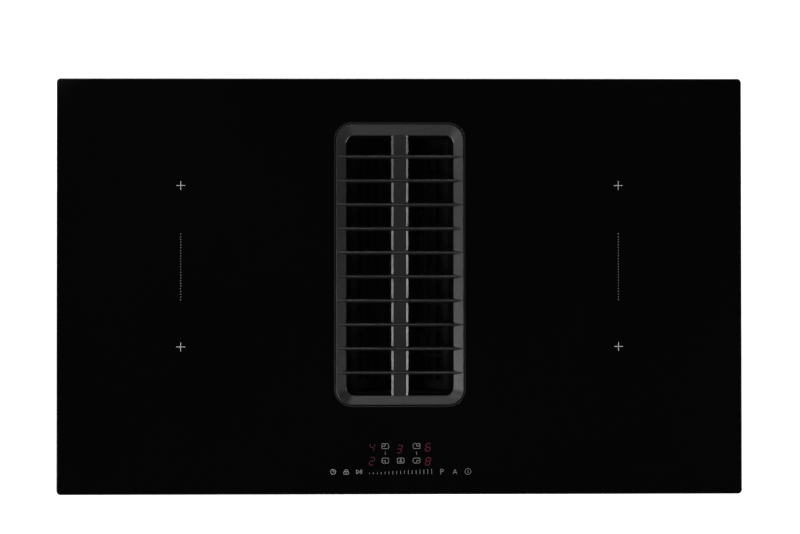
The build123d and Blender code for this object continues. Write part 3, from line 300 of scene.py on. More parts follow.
def stand_on(wall, rise, sunk):
    """Where a form on a wall starts and ends: sunk a little into the wall, and its rise out of it."""
    side = math.copysign(1, wall)
    return sorted((wall - side * sunk, wall + side * rise))


zinc = zinc_sheet()
casing_edge = 0.25 * mm
for half in ("left", "right"):
    soften(f"casing_sheet_{half}", f"casing_{half}", casing_edge, zinc)

casing_outer_x = 392
casing_inner_x = 95
casing_y = 238
bead_inset = 12
bead_side_reach = 150
bead_low_z = -39
bead_high_z = -33
bead_rise = 0.8
bead_sunk = 0.3
bead_edge = 1.0
bead_ends = (casing_inner_x + bead_inset, casing_outer_x - bead_inset)
beads = Fittings()
for left, right in ((-bead_ends[1], -bead_ends[0]), bead_ends):
    for wall in (-casing_y, casing_y):
        near, far = stand_on(wall, bead_rise, bead_sunk)
        beads.block((left, near, bead_low_z), (right, far, bead_high_z), bead_edge)
for wall in (-casing_outer_x, casing_outer_x):
    near, far = stand_on(wall, bead_rise, bead_sunk)
    beads.block((near, -bead_side_reach, bead_low_z), (far, bead_side_reach, bead_high_z), bead_edge)
beads.finish("casing_beads", zinc, "zinc_steel")

weld_radii = (2.4, 1.92, 1.44)
weld_heights = (-0.05, 0.15, 0.075)
weld_inset = 8
weld_z = (-32, -50)
weld_x = (weld_inset - casing_outer_x, -casing_inner_x - weld_inset,
          casing_inner_x + weld_inset, casing_outer_x - weld_inset)
welds = Fittings()
for side in (-1, 1):
    for x in weld_x:
        for z in weld_z:
            welds.stud((x, side * casing_y, z), (0, side, 0), weld_radii, weld_heights, segments=16)
welds.finish("casing_weld_marks", zinc, "zinc_steel")

# ==== Power electronics
# A lacquered circuit board on pillars in each casing, with an extruded aluminium heat sink and a
# flat cooling fan that draws air through the slots in the floor.


def lacquered_board():
    """Green solder mask over tracks that stand up a little, with tinned pads."""
    finish = Finish("lacquered_board", {"Coat Roughness": 0.2})
    mask_on_board = (0.012, 0.075, 0.035, 1)
    mask_on_copper = (0.02, 0.13, 0.06, 1)
    tin = (0.55, 0.55, 0.56, 1)
    tracks = finish.level(finish.cells(0.004, "DISTANCE_TO_EDGE"), 0.06, 0.09)
    pads = finish.level(finish.cells(0.0054), 0.2, 0.16)
    green = finish.mix(tracks, mask_on_board, mask_on_copper)
    finish.set({"Base Color": finish.mix(pads, green, tin), "Metallic": pads,
                "Roughness": 0.42 - pads * 0.1, "Coat Weight": 0.4 - pads * 0.4})
    return finish.relief(tracks + pads, 0.00004)


def milled_aluminium():
    """Extruded aluminium with lengthwise die lines and clouded oxide."""
    finish = Finish("milled_aluminium", {"Metallic": 1.0})
    lines = finish.noise(0.0007, stretch=(1, 0.02, 1))
    cloud = finish.noise(0.05, detail=4.0)
    finish.set({"Base Color": finish.mix(cloud, grey(0.5), grey(0.62)), "Roughness": 0.26 + cloud * 0.2})
    return finish.relief(lines, 0.00002)


def moulding(name, value, rough, grain, warm=0.0):
    """Moulded plastic: an even colour with a spark-eroded grain, flow marks and dusty scuffs."""
    finish = Finish(name, {})
    flow = finish.noise(0.09, detail=4.0, stretch=(1, 0.4, 1))
    scuff = finish.level(finish.noise(0.02, detail=8.0), 0.56, 0.72)
    pits = finish.noise(grain, detail=3.0)
    wear = finish.edges(0.06)
    tint = finish.mix(flow * 0.5 + scuff * 0.35, grey(value, warm), grey(value * 1.5 + 0.004, warm))
    finish.set({"Base Color": finish.mix(wear * 0.4, tint, grey(value * 2 + 0.03, warm)),
                "Roughness": rough + scuff * 0.12 - flow * 0.06 - wear * 0.08})
    return finish.relief(pits, 0.06 * grain).relief(flow, 0.0003)


board_finish = lacquered_board()
aluminium = milled_aluminium()
fan_plastic = moulding("fan_plastic", value=0.022, rough=0.4, grain=0.0006)
for half in ("left", "right"):
    dress(board_finish, f"power_board_{half}")
    dress(aluminium, f"heat_sink_{half}")
    dress(fan_plastic, f"cooling_frame_{half}", f"cooling_rotor_{half}")

# ==== Coils
# Four flat windings of stranded, lacquered copper on moulded discs, with ferrite bars below them,
# a mica sheet above them and a sensor in the middle of each, on a plate with bent legs.


def wound_copper():
    """Lacquered copper strand."""
    finish = Finish("wound_copper", {"Metallic": 0.8, "Coat Weight": 0.3})
    dark_copper = (0.3, 0.11, 0.045, 1)
    light_copper = (0.62, 0.3, 0.14, 1)
    strands = finish.noise(0.0011, detail=3.0, stretch=(1, 0.3, 1))
    finish.set({"Base Color": finish.mix(strands, dark_copper, light_copper),
                "Roughness": 0.34 + strands * 0.12})
    return finish.relief(strands, 0.0004)


def pressed_mineral(name, dark, light, size):
    """Pressed mineral sheet or bar with flakes of two shades."""
    finish = Finish(name, {"Roughness": 0.7})
    flakes = finish.noise(size, detail=6.0)
    finish.set({"Base Color": finish.mix(finish.level(flakes, 0.35, 0.65), dark, light)})
    return finish.relief(flakes, 0.1 * size)


copper = wound_copper()
former_finish = moulding("former_plastic", value=0.5, rough=0.5, grain=0.0008, warm=0.05)
mica = pressed_mineral("mica_sheet", dark=(0.42, 0.36, 0.26, 1), light=(0.62, 0.57, 0.47, 1), size=0.003)
ferrite = pressed_mineral("ferrite_bar", dark=grey(0.035), light=grey(0.075), size=0.0006)
dress(aluminium, "coil_plate_left", "coil_plate_right")
dress(copper, "coil_front_left", "coil_front_right", "coil_rear_left", "coil_rear_right")
dress(former_finish, "coil_formers", "coil_sensors")
dress(mica, "mica_sheets")
dress(ferrite, "ferrite_bars")

# ==== Touch control
# A moulded tray under the front of the glass that carries the touch board, its display modules and
# the foam pads of the keys.


def soft_foam(name, value, size):
    """Closed-cell foam or rubber: matt, with small cells."""
    finish = Finish(name, {"Roughness": 0.92})
    pores = finish.cells(size)
    finish.set({"Base Color": finish.mix(pores, grey(value * 0.7), grey(value * 1.3))})
    return finish.relief(pores, 0.3 * size)


def cast_resin():
    """Red tinted resin over the lamps of a display, a little cloudy."""
    finish = Finish("display_resin", {})
    dark_resin = (0.1, 0.012, 0.014, 1)
    light_resin = (0.2, 0.02, 0.02, 1)
    cloud = finish.noise(0.002, detail=3.0)
    finish.set({"Base Color": finish.mix(cloud, dark_resin, light_resin), "Roughness": 0.22 + cloud * 0.2})
    return finish.relief(cloud, 0.00005)


box_finish = moulding("box_plastic", value=0.06, rough=0.48, grain=0.0007)
foam = soft_foam("foam_strip", value=0.045, size=0.0008)
moulded_edge = 0.3 * mm
soften("touch_tray", "control_tray", moulded_edge, box_finish)
dress(board_finish, "touch_board")
dress(foam, "touch_pads")
dress(cast_resin(), "zone_displays")

# ==== Glass frame and worktop seal
# Four folded rails of zinc-plated sheet bonded under the glass, which the casings hang from, and a
# foam strip under the rim of the glass that closes the joint with the worktop.

sheet_edge = 0.2 * mm
soften("glass_rails", "glass_frame", sheet_edge, zinc)
dress(foam, "worktop_seal")

# ==== Glass panel
# One sheet of black glass-ceramic, 4 mm thick, polished on top, with a ground and polished bevel
# round the rim and a cut-out for the air inlet.


def black_glass():
    """Polished glass-ceramic, deep black, with the faintest wipe marks in its gloss."""
    finish = Finish("black_glass", {"IOR": 1.5})
    wipes = finish.level(finish.noise(0.06, detail=5.0, stretch=(1, 0.35, 1)), 0.45, 0.85)
    depth = finish.noise(0.3)
    finish.set({"Base Color": finish.mix(depth, grey(0.0007), grey(0.0014)),
                "Roughness": 0.025 + wipes * 0.02})
    return finish.relief(finish.noise(0.08, detail=1.0), 0.00001)


polished_edge = 0.3 * mm
soften("glass_top", "glass_panel", polished_edge, black_glass(), segments=3)
glass_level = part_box("glass_panel")[1].z

# ==== Zone marks
# White ceramic ink fired on the glass: a cross at the middle of each zone and, in a thinner coat, a
# line of dots that says that the two zones of a side can be joined.

ink_height = 0.04 * mm


class Print(Fittings):
    """Flat marks on the glass in millimetres: strokes and rings of the width that is set, and dots."""

    def __init__(self, width):
        super().__init__()
        self.width = width

    def stroke(self, x0, y0, x1, y1, width=None):
        """A straight line between two points, with square ends that reach a little past them."""
        width = width or self.width
        verts = bmesh.ops.create_cube(self.form, size=1)["verts"]
        reach = math.hypot(x1 - x0, y1 - y0)
        turn = Matrix.Rotation(math.atan2(y1 - y0, x1 - x0), 4, "Z")
        size = Matrix.Diagonal((reach + width * 0.7, width, 1, 1))
        middle = Matrix.Translation(((x0 + x1) / 2, (y0 + y1) / 2, 0))
        bmesh.ops.transform(self.form, matrix=middle @ turn @ size, verts=verts)

    def path(self, *points):
        """Straight lines from point to point."""
        for start, end in zip(points, points[1:]):
            self.stroke(*start, *end)

    def arc(self, x, y, radius, start=0, turn=360, steps=32):
        """A round line about a point, from a start angle through a turn, in degrees."""
        before = set(self.form.verts)
        corners = [self.form.verts.new((radius + across * self.width / 2, 0, up / 2))
                   for across, up in ((-1, -1), (1, -1), (1, 1), (-1, 1))]
        lines = [self.form.edges.new((corners[k], corners[k - 1])) for k in range(4)]
        full = turn == 360
        made = bmesh.ops.spin(self.form, geom=corners + lines, cent=(0, 0, 0), axis=(0, 0, 1),
                              angle=math.radians(turn), steps=steps, use_merge=full)
        if not full:
            ends = lines + [part for part in made["geom_last"] if isinstance(part, bmesh.types.BMEdge)]
            bmesh.ops.holes_fill(self.form, edges=ends)
        verts = [vert for vert in self.form.verts if vert not in before]
        place = Matrix.Translation((x, y, 0)) @ Matrix.Rotation(math.radians(start), 4, "Z")
        bmesh.ops.transform(self.form, matrix=place, verts=verts)

    def dot(self, x, y, radius):
        """A filled round."""
        verts = bmesh.ops.create_cone(self.form, cap_ends=True, segments=16, radius1=radius, radius2=radius,
                                      depth=1)["verts"]
        bmesh.ops.translate(self.form, vec=(x, y, 0), verts=verts)

    def lay(self, name, finish, slot):
        """Lays the marks on the glass."""
        bmesh.ops.recalc_face_normals(self.form, faces=self.form.faces)
        lift = Matrix.Translation((0, 0, glass_level + ink_height / 2))
        bmesh.ops.transform(self.form, matrix=lift @ Matrix.Diagonal((mm, mm, ink_height, 1)),
                            verts=self.form.verts)
        return piece(name, self.form, finish, "root")


def fired_ink(name, value):
    """Ceramic ink of one shade, with the grain of its screen print."""
    finish = Finish(name, {"Roughness": 0.5})
    grain = finish.noise(0.0003, detail=3.0)
    finish.set({"Base Color": finish.mix(grain, grey(value * 0.85), grey(value))})
    return finish.relief(grain, 0.00001)


zone_x = 268.3
zone_front_y = -74.1
zone_rear_y = 123.5
cross_reach = 5.2
dots_per_line = 25
dots_front_y = -16.3
dots_rear_y = 64.0
dot_r = 0.52
zone_line_width = 0.56
zone_marks = Print(zone_line_width)
zone_lines = Print(zone_line_width)
for side in (-1, 1):
    for y in (zone_front_y, zone_rear_y):
        zone_marks.stroke(side * zone_x - cross_reach, y, side * zone_x + cross_reach, y)
        zone_marks.stroke(side * zone_x, y - cross_reach, side * zone_x, y + cross_reach)
    for k in range(dots_per_line):
        y = dots_front_y + (dots_rear_y - dots_front_y) * k / (dots_per_line - 1)
        zone_lines.dot(side * zone_x, y, dot_r)
zone_marks.lay("zone_marks", fired_ink("fired_ink_white", value=0.74), "black_glass")
zone_lines.lay("zone_lines", fired_ink("fired_ink_pale", value=0.33), "black_glass")

# ==== Key marks
# The signs of the keys, in grey ink: a box for each zone with its own corner marked, the fan, the
# timer, the lock, the pause key, the slider, the boost and automatic letters and the on-off key.

keys = Print(width=0.45)
box_half_x = 4.1
box_half_y = 3.05
box_corner = 1.5
corner_steps = 6
corner_starts = {(-1, -1): 180, (-1, 1): 90, (1, -1): 270, (1, 1): 0}


def rounded_box(x, y, square_left=False, square_right=False):
    """A box line whose corners are rounded, or square on one side."""
    for side, square in ((-1, square_left), (1, square_right)):
        edge_x = x + side * box_half_x
        cut = 0 if square else box_corner
        keys.stroke(edge_x, y - box_half_y + cut, edge_x, y + box_half_y - cut)
        if not square:
            for end in (-1, 1):
                keys.arc(edge_x - side * cut, y + end * (box_half_y - cut), cut,
                         start=corner_starts[side, end], turn=90, steps=corner_steps)
    left = x - box_half_x + (0 if square_left else box_corner)
    right = x + box_half_x - (0 if square_right else box_corner)
    for end in (-1, 1):
        keys.stroke(left, y + end * box_half_y, right, y + end * box_half_y)


key_left_x = -18.0
key_right_x = 20.2
key_rear_y = -195.8
key_front_y = -213.5
link_y = -204.4
link_half = 1.7
for x, side in ((key_left_x, -1), (key_right_x, 1)):
    for y, end in ((key_rear_y, 1), (key_front_y, -1)):
        rounded_box(x, y, square_left=side < 0, square_right=side > 0)
        keys.path((x, y + end * box_half_y), (x, y), (x + side * box_half_x, y))
    keys.stroke(x, link_y - link_half, x, link_y + link_half)

fan_key_x = 0.9
fan_hub_y = key_front_y - 0.2
blade_reach = 1.5
blade_width = 1.1
keys.width = 0.57
rounded_box(fan_key_x, key_front_y)
for turn in (90, 215, 325):
    blade_x = fan_key_x + blade_reach * math.cos(math.radians(turn))
    blade_y = fan_hub_y + blade_reach * math.sin(math.radians(turn))
    keys.stroke(fan_key_x, fan_hub_y, blade_x, blade_y, blade_width)

row_y = -227.2
timer_x = -81.8
timer_r = 3.1
minute_hand = 2.0
hour_hand = 1.6
keys.width = 0.66
keys.arc(timer_x, row_y, timer_r)
keys.path((timer_x, row_y + minute_hand), (timer_x, row_y), (timer_x + hour_hand, row_y))

lock_x = -65.9
lock_half_x = 2.9
lock_low_y = row_y - 2.9
lock_top_y = row_y + 0.4
shackle_y = row_y + 0.7
shackle_r = 1.9
keyhole_y = row_y - 1.3
keyhole_r = 0.6
keys.width = 0.61
keys.path((lock_x - lock_half_x, lock_top_y), (lock_x - lock_half_x, lock_low_y),
          (lock_x + lock_half_x, lock_low_y), (lock_x + lock_half_x, lock_top_y),
          (lock_x - lock_half_x, lock_top_y))
keys.arc(lock_x, shackle_y, shackle_r, turn=180, steps=16)
keys.dot(lock_x, keyhole_y, keyhole_r)

play_x = -50.1
play_left_x = play_x - 3.3
play_tip_x = play_x + 0.6
pause_x = (play_x + 1.6, play_x + 3.2)
play_low_y = row_y - 2.5
play_top_y = row_y + 2.5
keys.width = 0.55
keys.path((play_left_x, play_low_y), (play_left_x, play_top_y), (play_tip_x, row_y),
          (play_left_x, play_low_y))
for x in pause_x:
    keys.stroke(x, play_low_y, x, play_top_y)

ticks = 17
tick_left_x = -37.3
tick_right_x = 38.7
tick_low_y = -229.9
tick_shortest = 1.4
tick_longest = 5.8
keys.width = 0.44
for k in range(ticks):
    share = k / (ticks - 1)
    x = tick_left_x + (tick_right_x - tick_left_x) * share
    keys.stroke(x, tick_low_y, x, tick_low_y + tick_shortest + (tick_longest - tick_shortest) * share)

letter_low_y = -230.0
letter_top_y = -224.2
boost_x = 49.7
bowl_x = boost_x + 2.0
bowl_low_y = -227.2
keys.width = 0.46
keys.stroke(boost_x, letter_low_y, boost_x, letter_top_y)
keys.stroke(boost_x, letter_top_y, bowl_x, letter_top_y)
keys.stroke(boost_x, bowl_low_y, bowl_x, bowl_low_y)
keys.arc(bowl_x, (letter_top_y + bowl_low_y) / 2, (letter_top_y - bowl_low_y) / 2,
         start=-90, turn=180, steps=10)

auto_x = 67.3
auto_half_x = 2.4
auto_bar_half_x = 1.7
auto_bar_y = letter_low_y + 1.9
keys.path((auto_x - auto_half_x, letter_low_y), (auto_x, letter_top_y), (auto_x + auto_half_x, letter_low_y))
keys.stroke(auto_x - auto_bar_half_x, auto_bar_y, auto_x + auto_bar_half_x, auto_bar_y)

power_x = 83.2
power_y = row_y + 0.2
power_r = 3.6
power_bar_half_y = 1.6
keys.width = 0.38
keys.arc(power_x, power_y, power_r)
keys.stroke(power_x, power_y - power_bar_half_y, power_x, power_y + power_bar_half_y)
keys.lay("key_marks", fired_ink("fired_ink_grey", value=0.33), "black_glass")

# ==== Zone digits
# Red seven-segment digits that shine through the glass: the levels of the four zones and, in the
# middle, of the fan. They lean to the right, and the fan's is set a little lower.


def lit_segments(name, strength):
    """Red light through tinted glass, a little uneven along its segments."""
    tinted_glass = (0.02, 0.001, 0.003, 1)
    dim_red = (0.6, 0.006, 0.1, 1)
    bright_red = (1.0, 0.015, 0.18, 1)
    finish = Finish(name, {"Base Color": tinted_glass, "Roughness": 0.4, "Emission Strength": strength})
    spread = finish.noise(0.0016)
    finish.set({"Emission Color": finish.mix(spread, dim_red, bright_red)})
    return finish.relief(spread, 0.00002)


digit_half_x = 2.7
digit_half_y = 4.6
digit_gap = 0.75
digit_lean = 0.2
segment_width = 0.9
segment_tip = 0.6
segment_ends = {"a": ((-1, 1), (1, 1)), "b": ((1, 1), (1, 0)), "c": ((1, 0), (1, -1)),
                "d": ((-1, -1), (1, -1)), "e": ((-1, 0), (-1, -1)), "f": ((-1, 1), (-1, 0)),
                "g": ((-1, 0), (1, 0))}
digit_segments = {"2": "abged", "3": "abgcd", "4": "fgbc", "6": "afgedc", "8": "abcdefg"}


def lit_digit(marks, digit, x, y):
    """Adds the lit segments of one digit about its middle."""
    for segment in digit_segments[digit]:
        (x0, y0), (x1, y1) = segment_ends[segment]
        start = Vector((x0 * digit_half_x, y0 * digit_half_y))
        end = Vector((x1 * digit_half_x, y1 * digit_half_y))
        pull = (end - start).normalized() * digit_gap
        start, end = start + pull, end - pull
        radius = segment_width / 2
        straight = max((end - start).length / 2 - radius * segment_tip, 0)
        verts = bmesh.ops.create_cone(marks.form, cap_ends=True, segments=8, radius1=radius, radius2=radius,
                                      depth=1)["verts"]
        for vert in verts:
            vert.co.x += math.copysign(straight, vert.co.x)
        turn = Matrix.Rotation(math.atan2(end.y - start.y, end.x - start.x), 4, "Z")
        middle = Matrix.Translation(((start + end) / 2).to_3d())
        lean = Matrix.Identity(4)
        lean[0][1] = digit_lean
        place = Matrix.Translation((x, y, 0)) @ lean @ middle @ turn
        bmesh.ops.transform(marks.form, matrix=place, verts=verts)


for name, strength, digits in (
        ("zone_digits_left", 0.069, (("4", -34.2, -197.3), ("2", -34.4, -214.3))),
        ("fan_level_digit", 0.11, (("3", -0.6, -199.3),)),
        ("zone_digits_right", 0.15, (("6", 34.3, -197.2), ("8", 34.2, -214.6)))):
    marks = Print(segment_width)
    for digit, x, y in digits:
        lit_digit(marks, digit, x, y)
    marks.lay(name, lit_segments(name + "_light", strength), "display_red")

# ==== Air inlet
# A heat-proof moulded frame set flush in the glass, which the grille rests in, a seal strip under
# it, and the moulded well that leads the air down to the filter.

inlet_finish = moulding("inlet_plastic", value=0.006, rough=0.38, grain=0.0005)
inlet_finish.set({"Specular IOR Level": 0.35})
# The well's moulding is near black, far darker than the frame's and with little gloss: painted shade in the
# recess.
well_painted_shade_finish = moulding("well_plastic_painted_shade", value=0.0015, rough=0.6, grain=0.0006)
well_painted_shade_finish.set({"Specular IOR Level": 0.1})
thick_wall_edge = 0.4 * mm
soften("inlet_rim", "inlet_frame", thick_wall_edge, inlet_finish, segments=3)
soften("inlet_funnel", "inlet_well", moulded_edge, well_painted_shade_finish)
dress(foam, "inlet_seal")

# ==== Collector
# A deep moulded box under the well, closed by a flanged lid, in which the air turns towards the
# fan and spilt liquid falls into the overflow tray, which slides out to the front on two runners.

duct_finish = moulding("duct_plastic", value=0.05, rough=0.42, grain=0.0008)
tray_finish = moulding("tray_plastic", value=0.14, rough=0.4, grain=0.0007, warm=-0.03)
tray_edge = 0.5 * mm
soften("collector_box", "collector_housing", thick_wall_edge, duct_finish)
soften("collector_cover", "collector_lid", moulded_edge, duct_finish)
soften("tray_rails", "tray_runners", moulded_edge, duct_finish)
soften("spill_tray", "overflow_tray", tray_edge, tray_finish, "overflow_tray")

collector_x = 82
collector_front_y = -145.75
collector_rear_y = 198.75
rib_rise = 2.8
rib_sunk = 0.2
rib_half = 1.1
end_rib_x = (-52, -26, 0, 26, 52)
end_rib_reach = 54
rear_rib_z = (-70, -134, -198)
front_rib_z = (-70, -115, -160)
side_rib_y = (-110, -60, 0, 60, 120, 165)
side_rib_z = (-112, -155, -198)
side_rib_front_y = -112
side_rib_rear_y = 167
ribs = Fittings()
for wall, levels in ((collector_rear_y, rear_rib_z), (collector_front_y, front_rib_z)):
    near, far = stand_on(wall, rib_rise, rib_sunk)
    for x in end_rib_x:
        ribs.block((x - rib_half, near, levels[-1]), (x + rib_half, far, levels[0]))
    for z in levels:
        ribs.block((-end_rib_reach, near, z - rib_half), (end_rib_reach, far, z + rib_half))
for wall in (-collector_x, collector_x):
    near, far = stand_on(wall, rib_rise, rib_sunk)
    for y in side_rib_y:
        ribs.block((near, y - rib_half, side_rib_z[-1]), (far, y + rib_half, side_rib_z[0]))
    for z in side_rib_z:
        ribs.block((near, side_rib_front_y, z - rib_half), (far, side_rib_rear_y, z + rib_half))
ribs.finish("collector_ribs", duct_finish, "duct_moulding")

# ==== Fan
# A flat duct leads the air from the collector over the fan, whose scroll is moulded in two halves.
# The impeller turns on the shaft of a capped motor, which hangs on rubber mounts in the scroll.


def painted_can():
    """Grey paint on drawn steel, with small chips."""
    finish = Finish("motor_paint", {})
    bare_steel = grey(0.35)
    flow = finish.noise(0.03, detail=4.0)
    chips = finish.level(finish.noise(0.0025, detail=6.0), 0.63, 0.67)
    paint = finish.mix(flow, grey(0.1), grey(0.15))
    finish.set({"Base Color": finish.mix(chips, paint, bare_steel),
                "Roughness": 0.42 + flow * 0.1, "Metallic": chips * 0.8})
    return finish.relief(chips, 0.00004).relief(finish.noise(0.0008), 0.00003)


def ground_steel():
    """Ground steel with fine turning lines."""
    finish = Finish("ground_steel", {"Metallic": 1.0})
    lines = finish.noise(0.0004, stretch=(0.2, 0.2, 3))
    finish.set({"Base Color": finish.mix(lines, grey(0.36), grey(0.5)), "Roughness": 0.2 + lines * 0.14})
    return finish.relief(lines, 0.00001)


def sintered_bronze():
    """Oil-filled sintered bronze, porous and a little dark."""
    finish = Finish("sintered_bronze", {"Metallic": 1.0})
    dark_bronze = (0.26, 0.16, 0.07, 1)
    light_bronze = (0.52, 0.35, 0.16, 1)
    pores = finish.cells(0.0004)
    finish.set({"Base Color": finish.mix(pores, dark_bronze, light_bronze), "Roughness": 0.35 + pores * 0.2})
    return finish.relief(pores, 0.00004)


steel = ground_steel()
rubber = soft_foam("matt_rubber", value=0.02, size=0.0005)
impeller_finish = moulding("impeller_plastic", value=0.03, rough=0.38, grain=0.0005)
can_edge = 0.4 * mm
soften("fan_duct", "plenum_duct", moulded_edge, duct_finish)
soften("scroll_lid", "scroll_cover", moulded_edge, duct_finish)
soften("scroll_bowl", "scroll_housing", thick_wall_edge, duct_finish)
soften("motor_can", "fan_motor", can_edge, painted_can())


def wall_of(node):
    """The surface of a CAD node, for places on its walls."""
    form = bmesh.new()
    form.from_mesh(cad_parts[node].data)
    surface = BVHTree.FromBMesh(form)
    form.free()
    return surface


def wall_place(wall, axis_x, axis_y, z, turn):
    """The place on an outer wall, seen from an upright axis: Y points out of the wall, Z up."""
    out = Vector((math.cos(math.radians(turn)), math.sin(math.radians(turn)), 0))
    place, normal = wall.ray_cast(Vector((axis_x, axis_y, z)) * mm + out, -out)[:2]
    normal = Vector((normal.x, normal.y, 0)).normalized()
    turned = Vector((0, 1, 0)).rotation_difference(normal).to_matrix().to_4x4()
    return Matrix.Translation(place / mm) @ turned


fan_axis = (217, 35)
scroll_rib_z = -150
scroll_rib_turns = range(100, 356, 15)
scroll_rib = ((-0.9, -0.4, -45), (0.9, 2.2, 34), 0.4)
clip_z = -110
clip_turns = range(107, 350, 40)
clip_tongue = ((-7, -0.6, -9), (7, 2.6, 6.6), 0.6)
clip_nose = ((-4, 0, -6), (4, 4.2, -3.4), 0.5)
clip_left_guard = ((-8.6, -0.6, -10), (-7, 3.4, 6.6), 0.4)
clip_right_guard = ((7, -0.6, -10), (8.6, 3.4, 6.6), 0.4)
scroll_wall = wall_of("scroll_housing")
scroll_fittings = Fittings()
for turn in scroll_rib_turns:
    scroll_fittings.block(*scroll_rib, wall_place(scroll_wall, *fan_axis, scroll_rib_z, turn))
for turn in clip_turns:
    place = wall_place(scroll_wall, *fan_axis, clip_z, turn)
    for low, high, edge in (clip_tongue, clip_nose, clip_left_guard, clip_right_guard):
        scroll_fittings.block(low, high, edge, place)
scroll_fittings.finish("scroll_ribs_and_clips", duct_finish, "duct_moulding")
dress(impeller_finish, "fan_impeller")
dress(steel, "fan_shaft")
dress(sintered_bronze(), "fan_bushes")
dress(rubber, "motor_mounts")

# ==== Outlet
# A flared adapter that is pushed over the fan's outlet and ends in the flat spigot that the room's
# ducting fits on.

dress(duct_finish, "outlet_adapter")

# ==== Fan electronics and mains box
# A moulded box under the left casing holds the fan's board. The mains terminals have a cover of
# their own at the rear, with a threaded gland for the cord.

soften("fan_electronics_box", "fan_control_box", thick_wall_edge, box_finish)
dress(board_finish, "fan_control_board")
soften("mains_cover", "terminal_cover", thick_wall_edge, box_finish)
soften("mains_terminals", "terminal_block", moulded_edge, former_finish)
soften("cord_gland", "cable_gland", moulded_edge, box_finish)

down = (0, 0, -1)
cover_base_z = -92
cover_screw_r = 3.0
cover_screws = [(x, y, cover_base_z) for x in (-355, -295) for y in (182, 230)]
fan_box_base_z = -94
fan_box_screw_r = 2.6
fan_box_screws = [(x, y, fan_box_base_z) for x in (-169, -103) for y in (-19, 89)]
grip_x = ((-350, -344), (-306, -300))
grip_near_y = 237.6
grip_far_y = 239.0
grip_z = (-87, -82)
grip_half = 0.6
vent_rib_x = ((-97.3, -96.0), (-176.0, -174.7))
vent_rib_y = range(-10, 81, 10)
vent_rib_low_z = -90
vent_rib_high_z = -62
vent_rib_half = 0.8
box_fittings = Fittings()
for place in cover_screws:
    box_fittings.screw(place, down, cover_screw_r)
for place in fan_box_screws:
    box_fittings.screw(place, down, fan_box_screw_r)
for left, right in grip_x:
    for z in grip_z:
        box_fittings.block((left, grip_near_y, z - grip_half), (right, grip_far_y, z + grip_half))
for left, right in vent_rib_x:
    for y in vent_rib_y:
        box_fittings.block((left, y - vent_rib_half, vent_rib_low_z),
                           (right, y + vent_rib_half, vent_rib_high_z))
box_fittings.finish("box_screws_and_ribs", box_finish, "box_moulding")

gland_x = -325
gland_z = -74
thread_start_y = 234.2
thread_pitch = 1.4
thread_turns = 5
thread_radii = (8.6, 9.1, 9.1, 8.6, 6.4)
thread_heights = (0, 0.25, 0.75, 1.0, 1.0)
gland_rings = Fittings()
for k in range(thread_turns):
    gland_rings.stud((gland_x, thread_start_y + thread_pitch * k, gland_z), (0, 1, 0), thread_radii,
                     thread_heights, segments=32)
gland_rings.finish("gland_thread", box_finish, "box_moulding")

# ==== Clamps
# An angle bracket on each corner of the frame carries a screw, whose claw swings out and is drawn
# up against the underside of the worktop.

casing_screw_edge = 0.15 * mm
soften("clamp_angles", "clamp_brackets", sheet_edge, zinc)
soften("clamp_bolts", "clamp_screws", sheet_edge, steel)
soften("casing_bolts", "casing_screws", casing_screw_edge, steel)
for end in ("front", "rear"):
    for half in ("left", "right"):
        soften(f"clamp_hook_{end}_{half}", f"clamp_claw_{end}_{half}", sheet_edge, zinc,
               f"clamp_{end}_{half}")

# ==== Grease filter
# A black-coated pressed basket, painted darker still as shade, with a panel of slotted sheet over a woven one
# on each side, and a trough for grease between them. It is lifted out by hand for the dishwasher.


def baked_coat(name, value, rough):
    """Black stove enamel on pressed steel, with an orange-peel skin and a greasy haze, darker than a real
    coat: painted shade.
    """
    finish = Finish(name, {"Specular IOR Level": 0.06})
    peel = finish.noise(0.0012)
    haze = finish.noise(0.04, detail=5.0)
    finish.set({"Base Color": finish.mix(haze, grey(value), grey(value * 1.7)),
                "Roughness": rough + haze * 0.12})
    return finish.relief(peel, 0.00004)


# The filter's coat is near black, far darker than enamel and with little gloss: painted shade inside the
# well.
filter_painted_shade_finish = baked_coat("filter_enamel_painted_shade", value=0.0014, rough=0.45)
trough_edge = 0.3 * mm
soften("filter_tray", "filter_basket", sheet_edge, filter_painted_shade_finish, "filter")
soften("filter_trough", "grease_trough", trough_edge, filter_painted_shade_finish, "filter")
for half in ("left", "right"):
    soften(f"filter_panel_{half}", f"filter_mesh_{half}", sheet_edge, filter_painted_shade_finish, "filter")

panel_low_x = 18
panel_low_z = -49
panel_high_x = 62.3
panel_high_z = -22
panel_middle_y = 26.5
panel_lean = math.atan2(panel_high_z - panel_low_z, panel_high_x - panel_low_x)
weave_cell = 5.2
weave_wire = 0.7
weave_sheet = 0.6
weave_length = 300
weave_width = 46
weave_drop = 3.2
weave_middle_x = (panel_low_x + panel_high_x) / 2
weave_middle_z = (panel_low_z + panel_high_z) / 2 - weave_drop
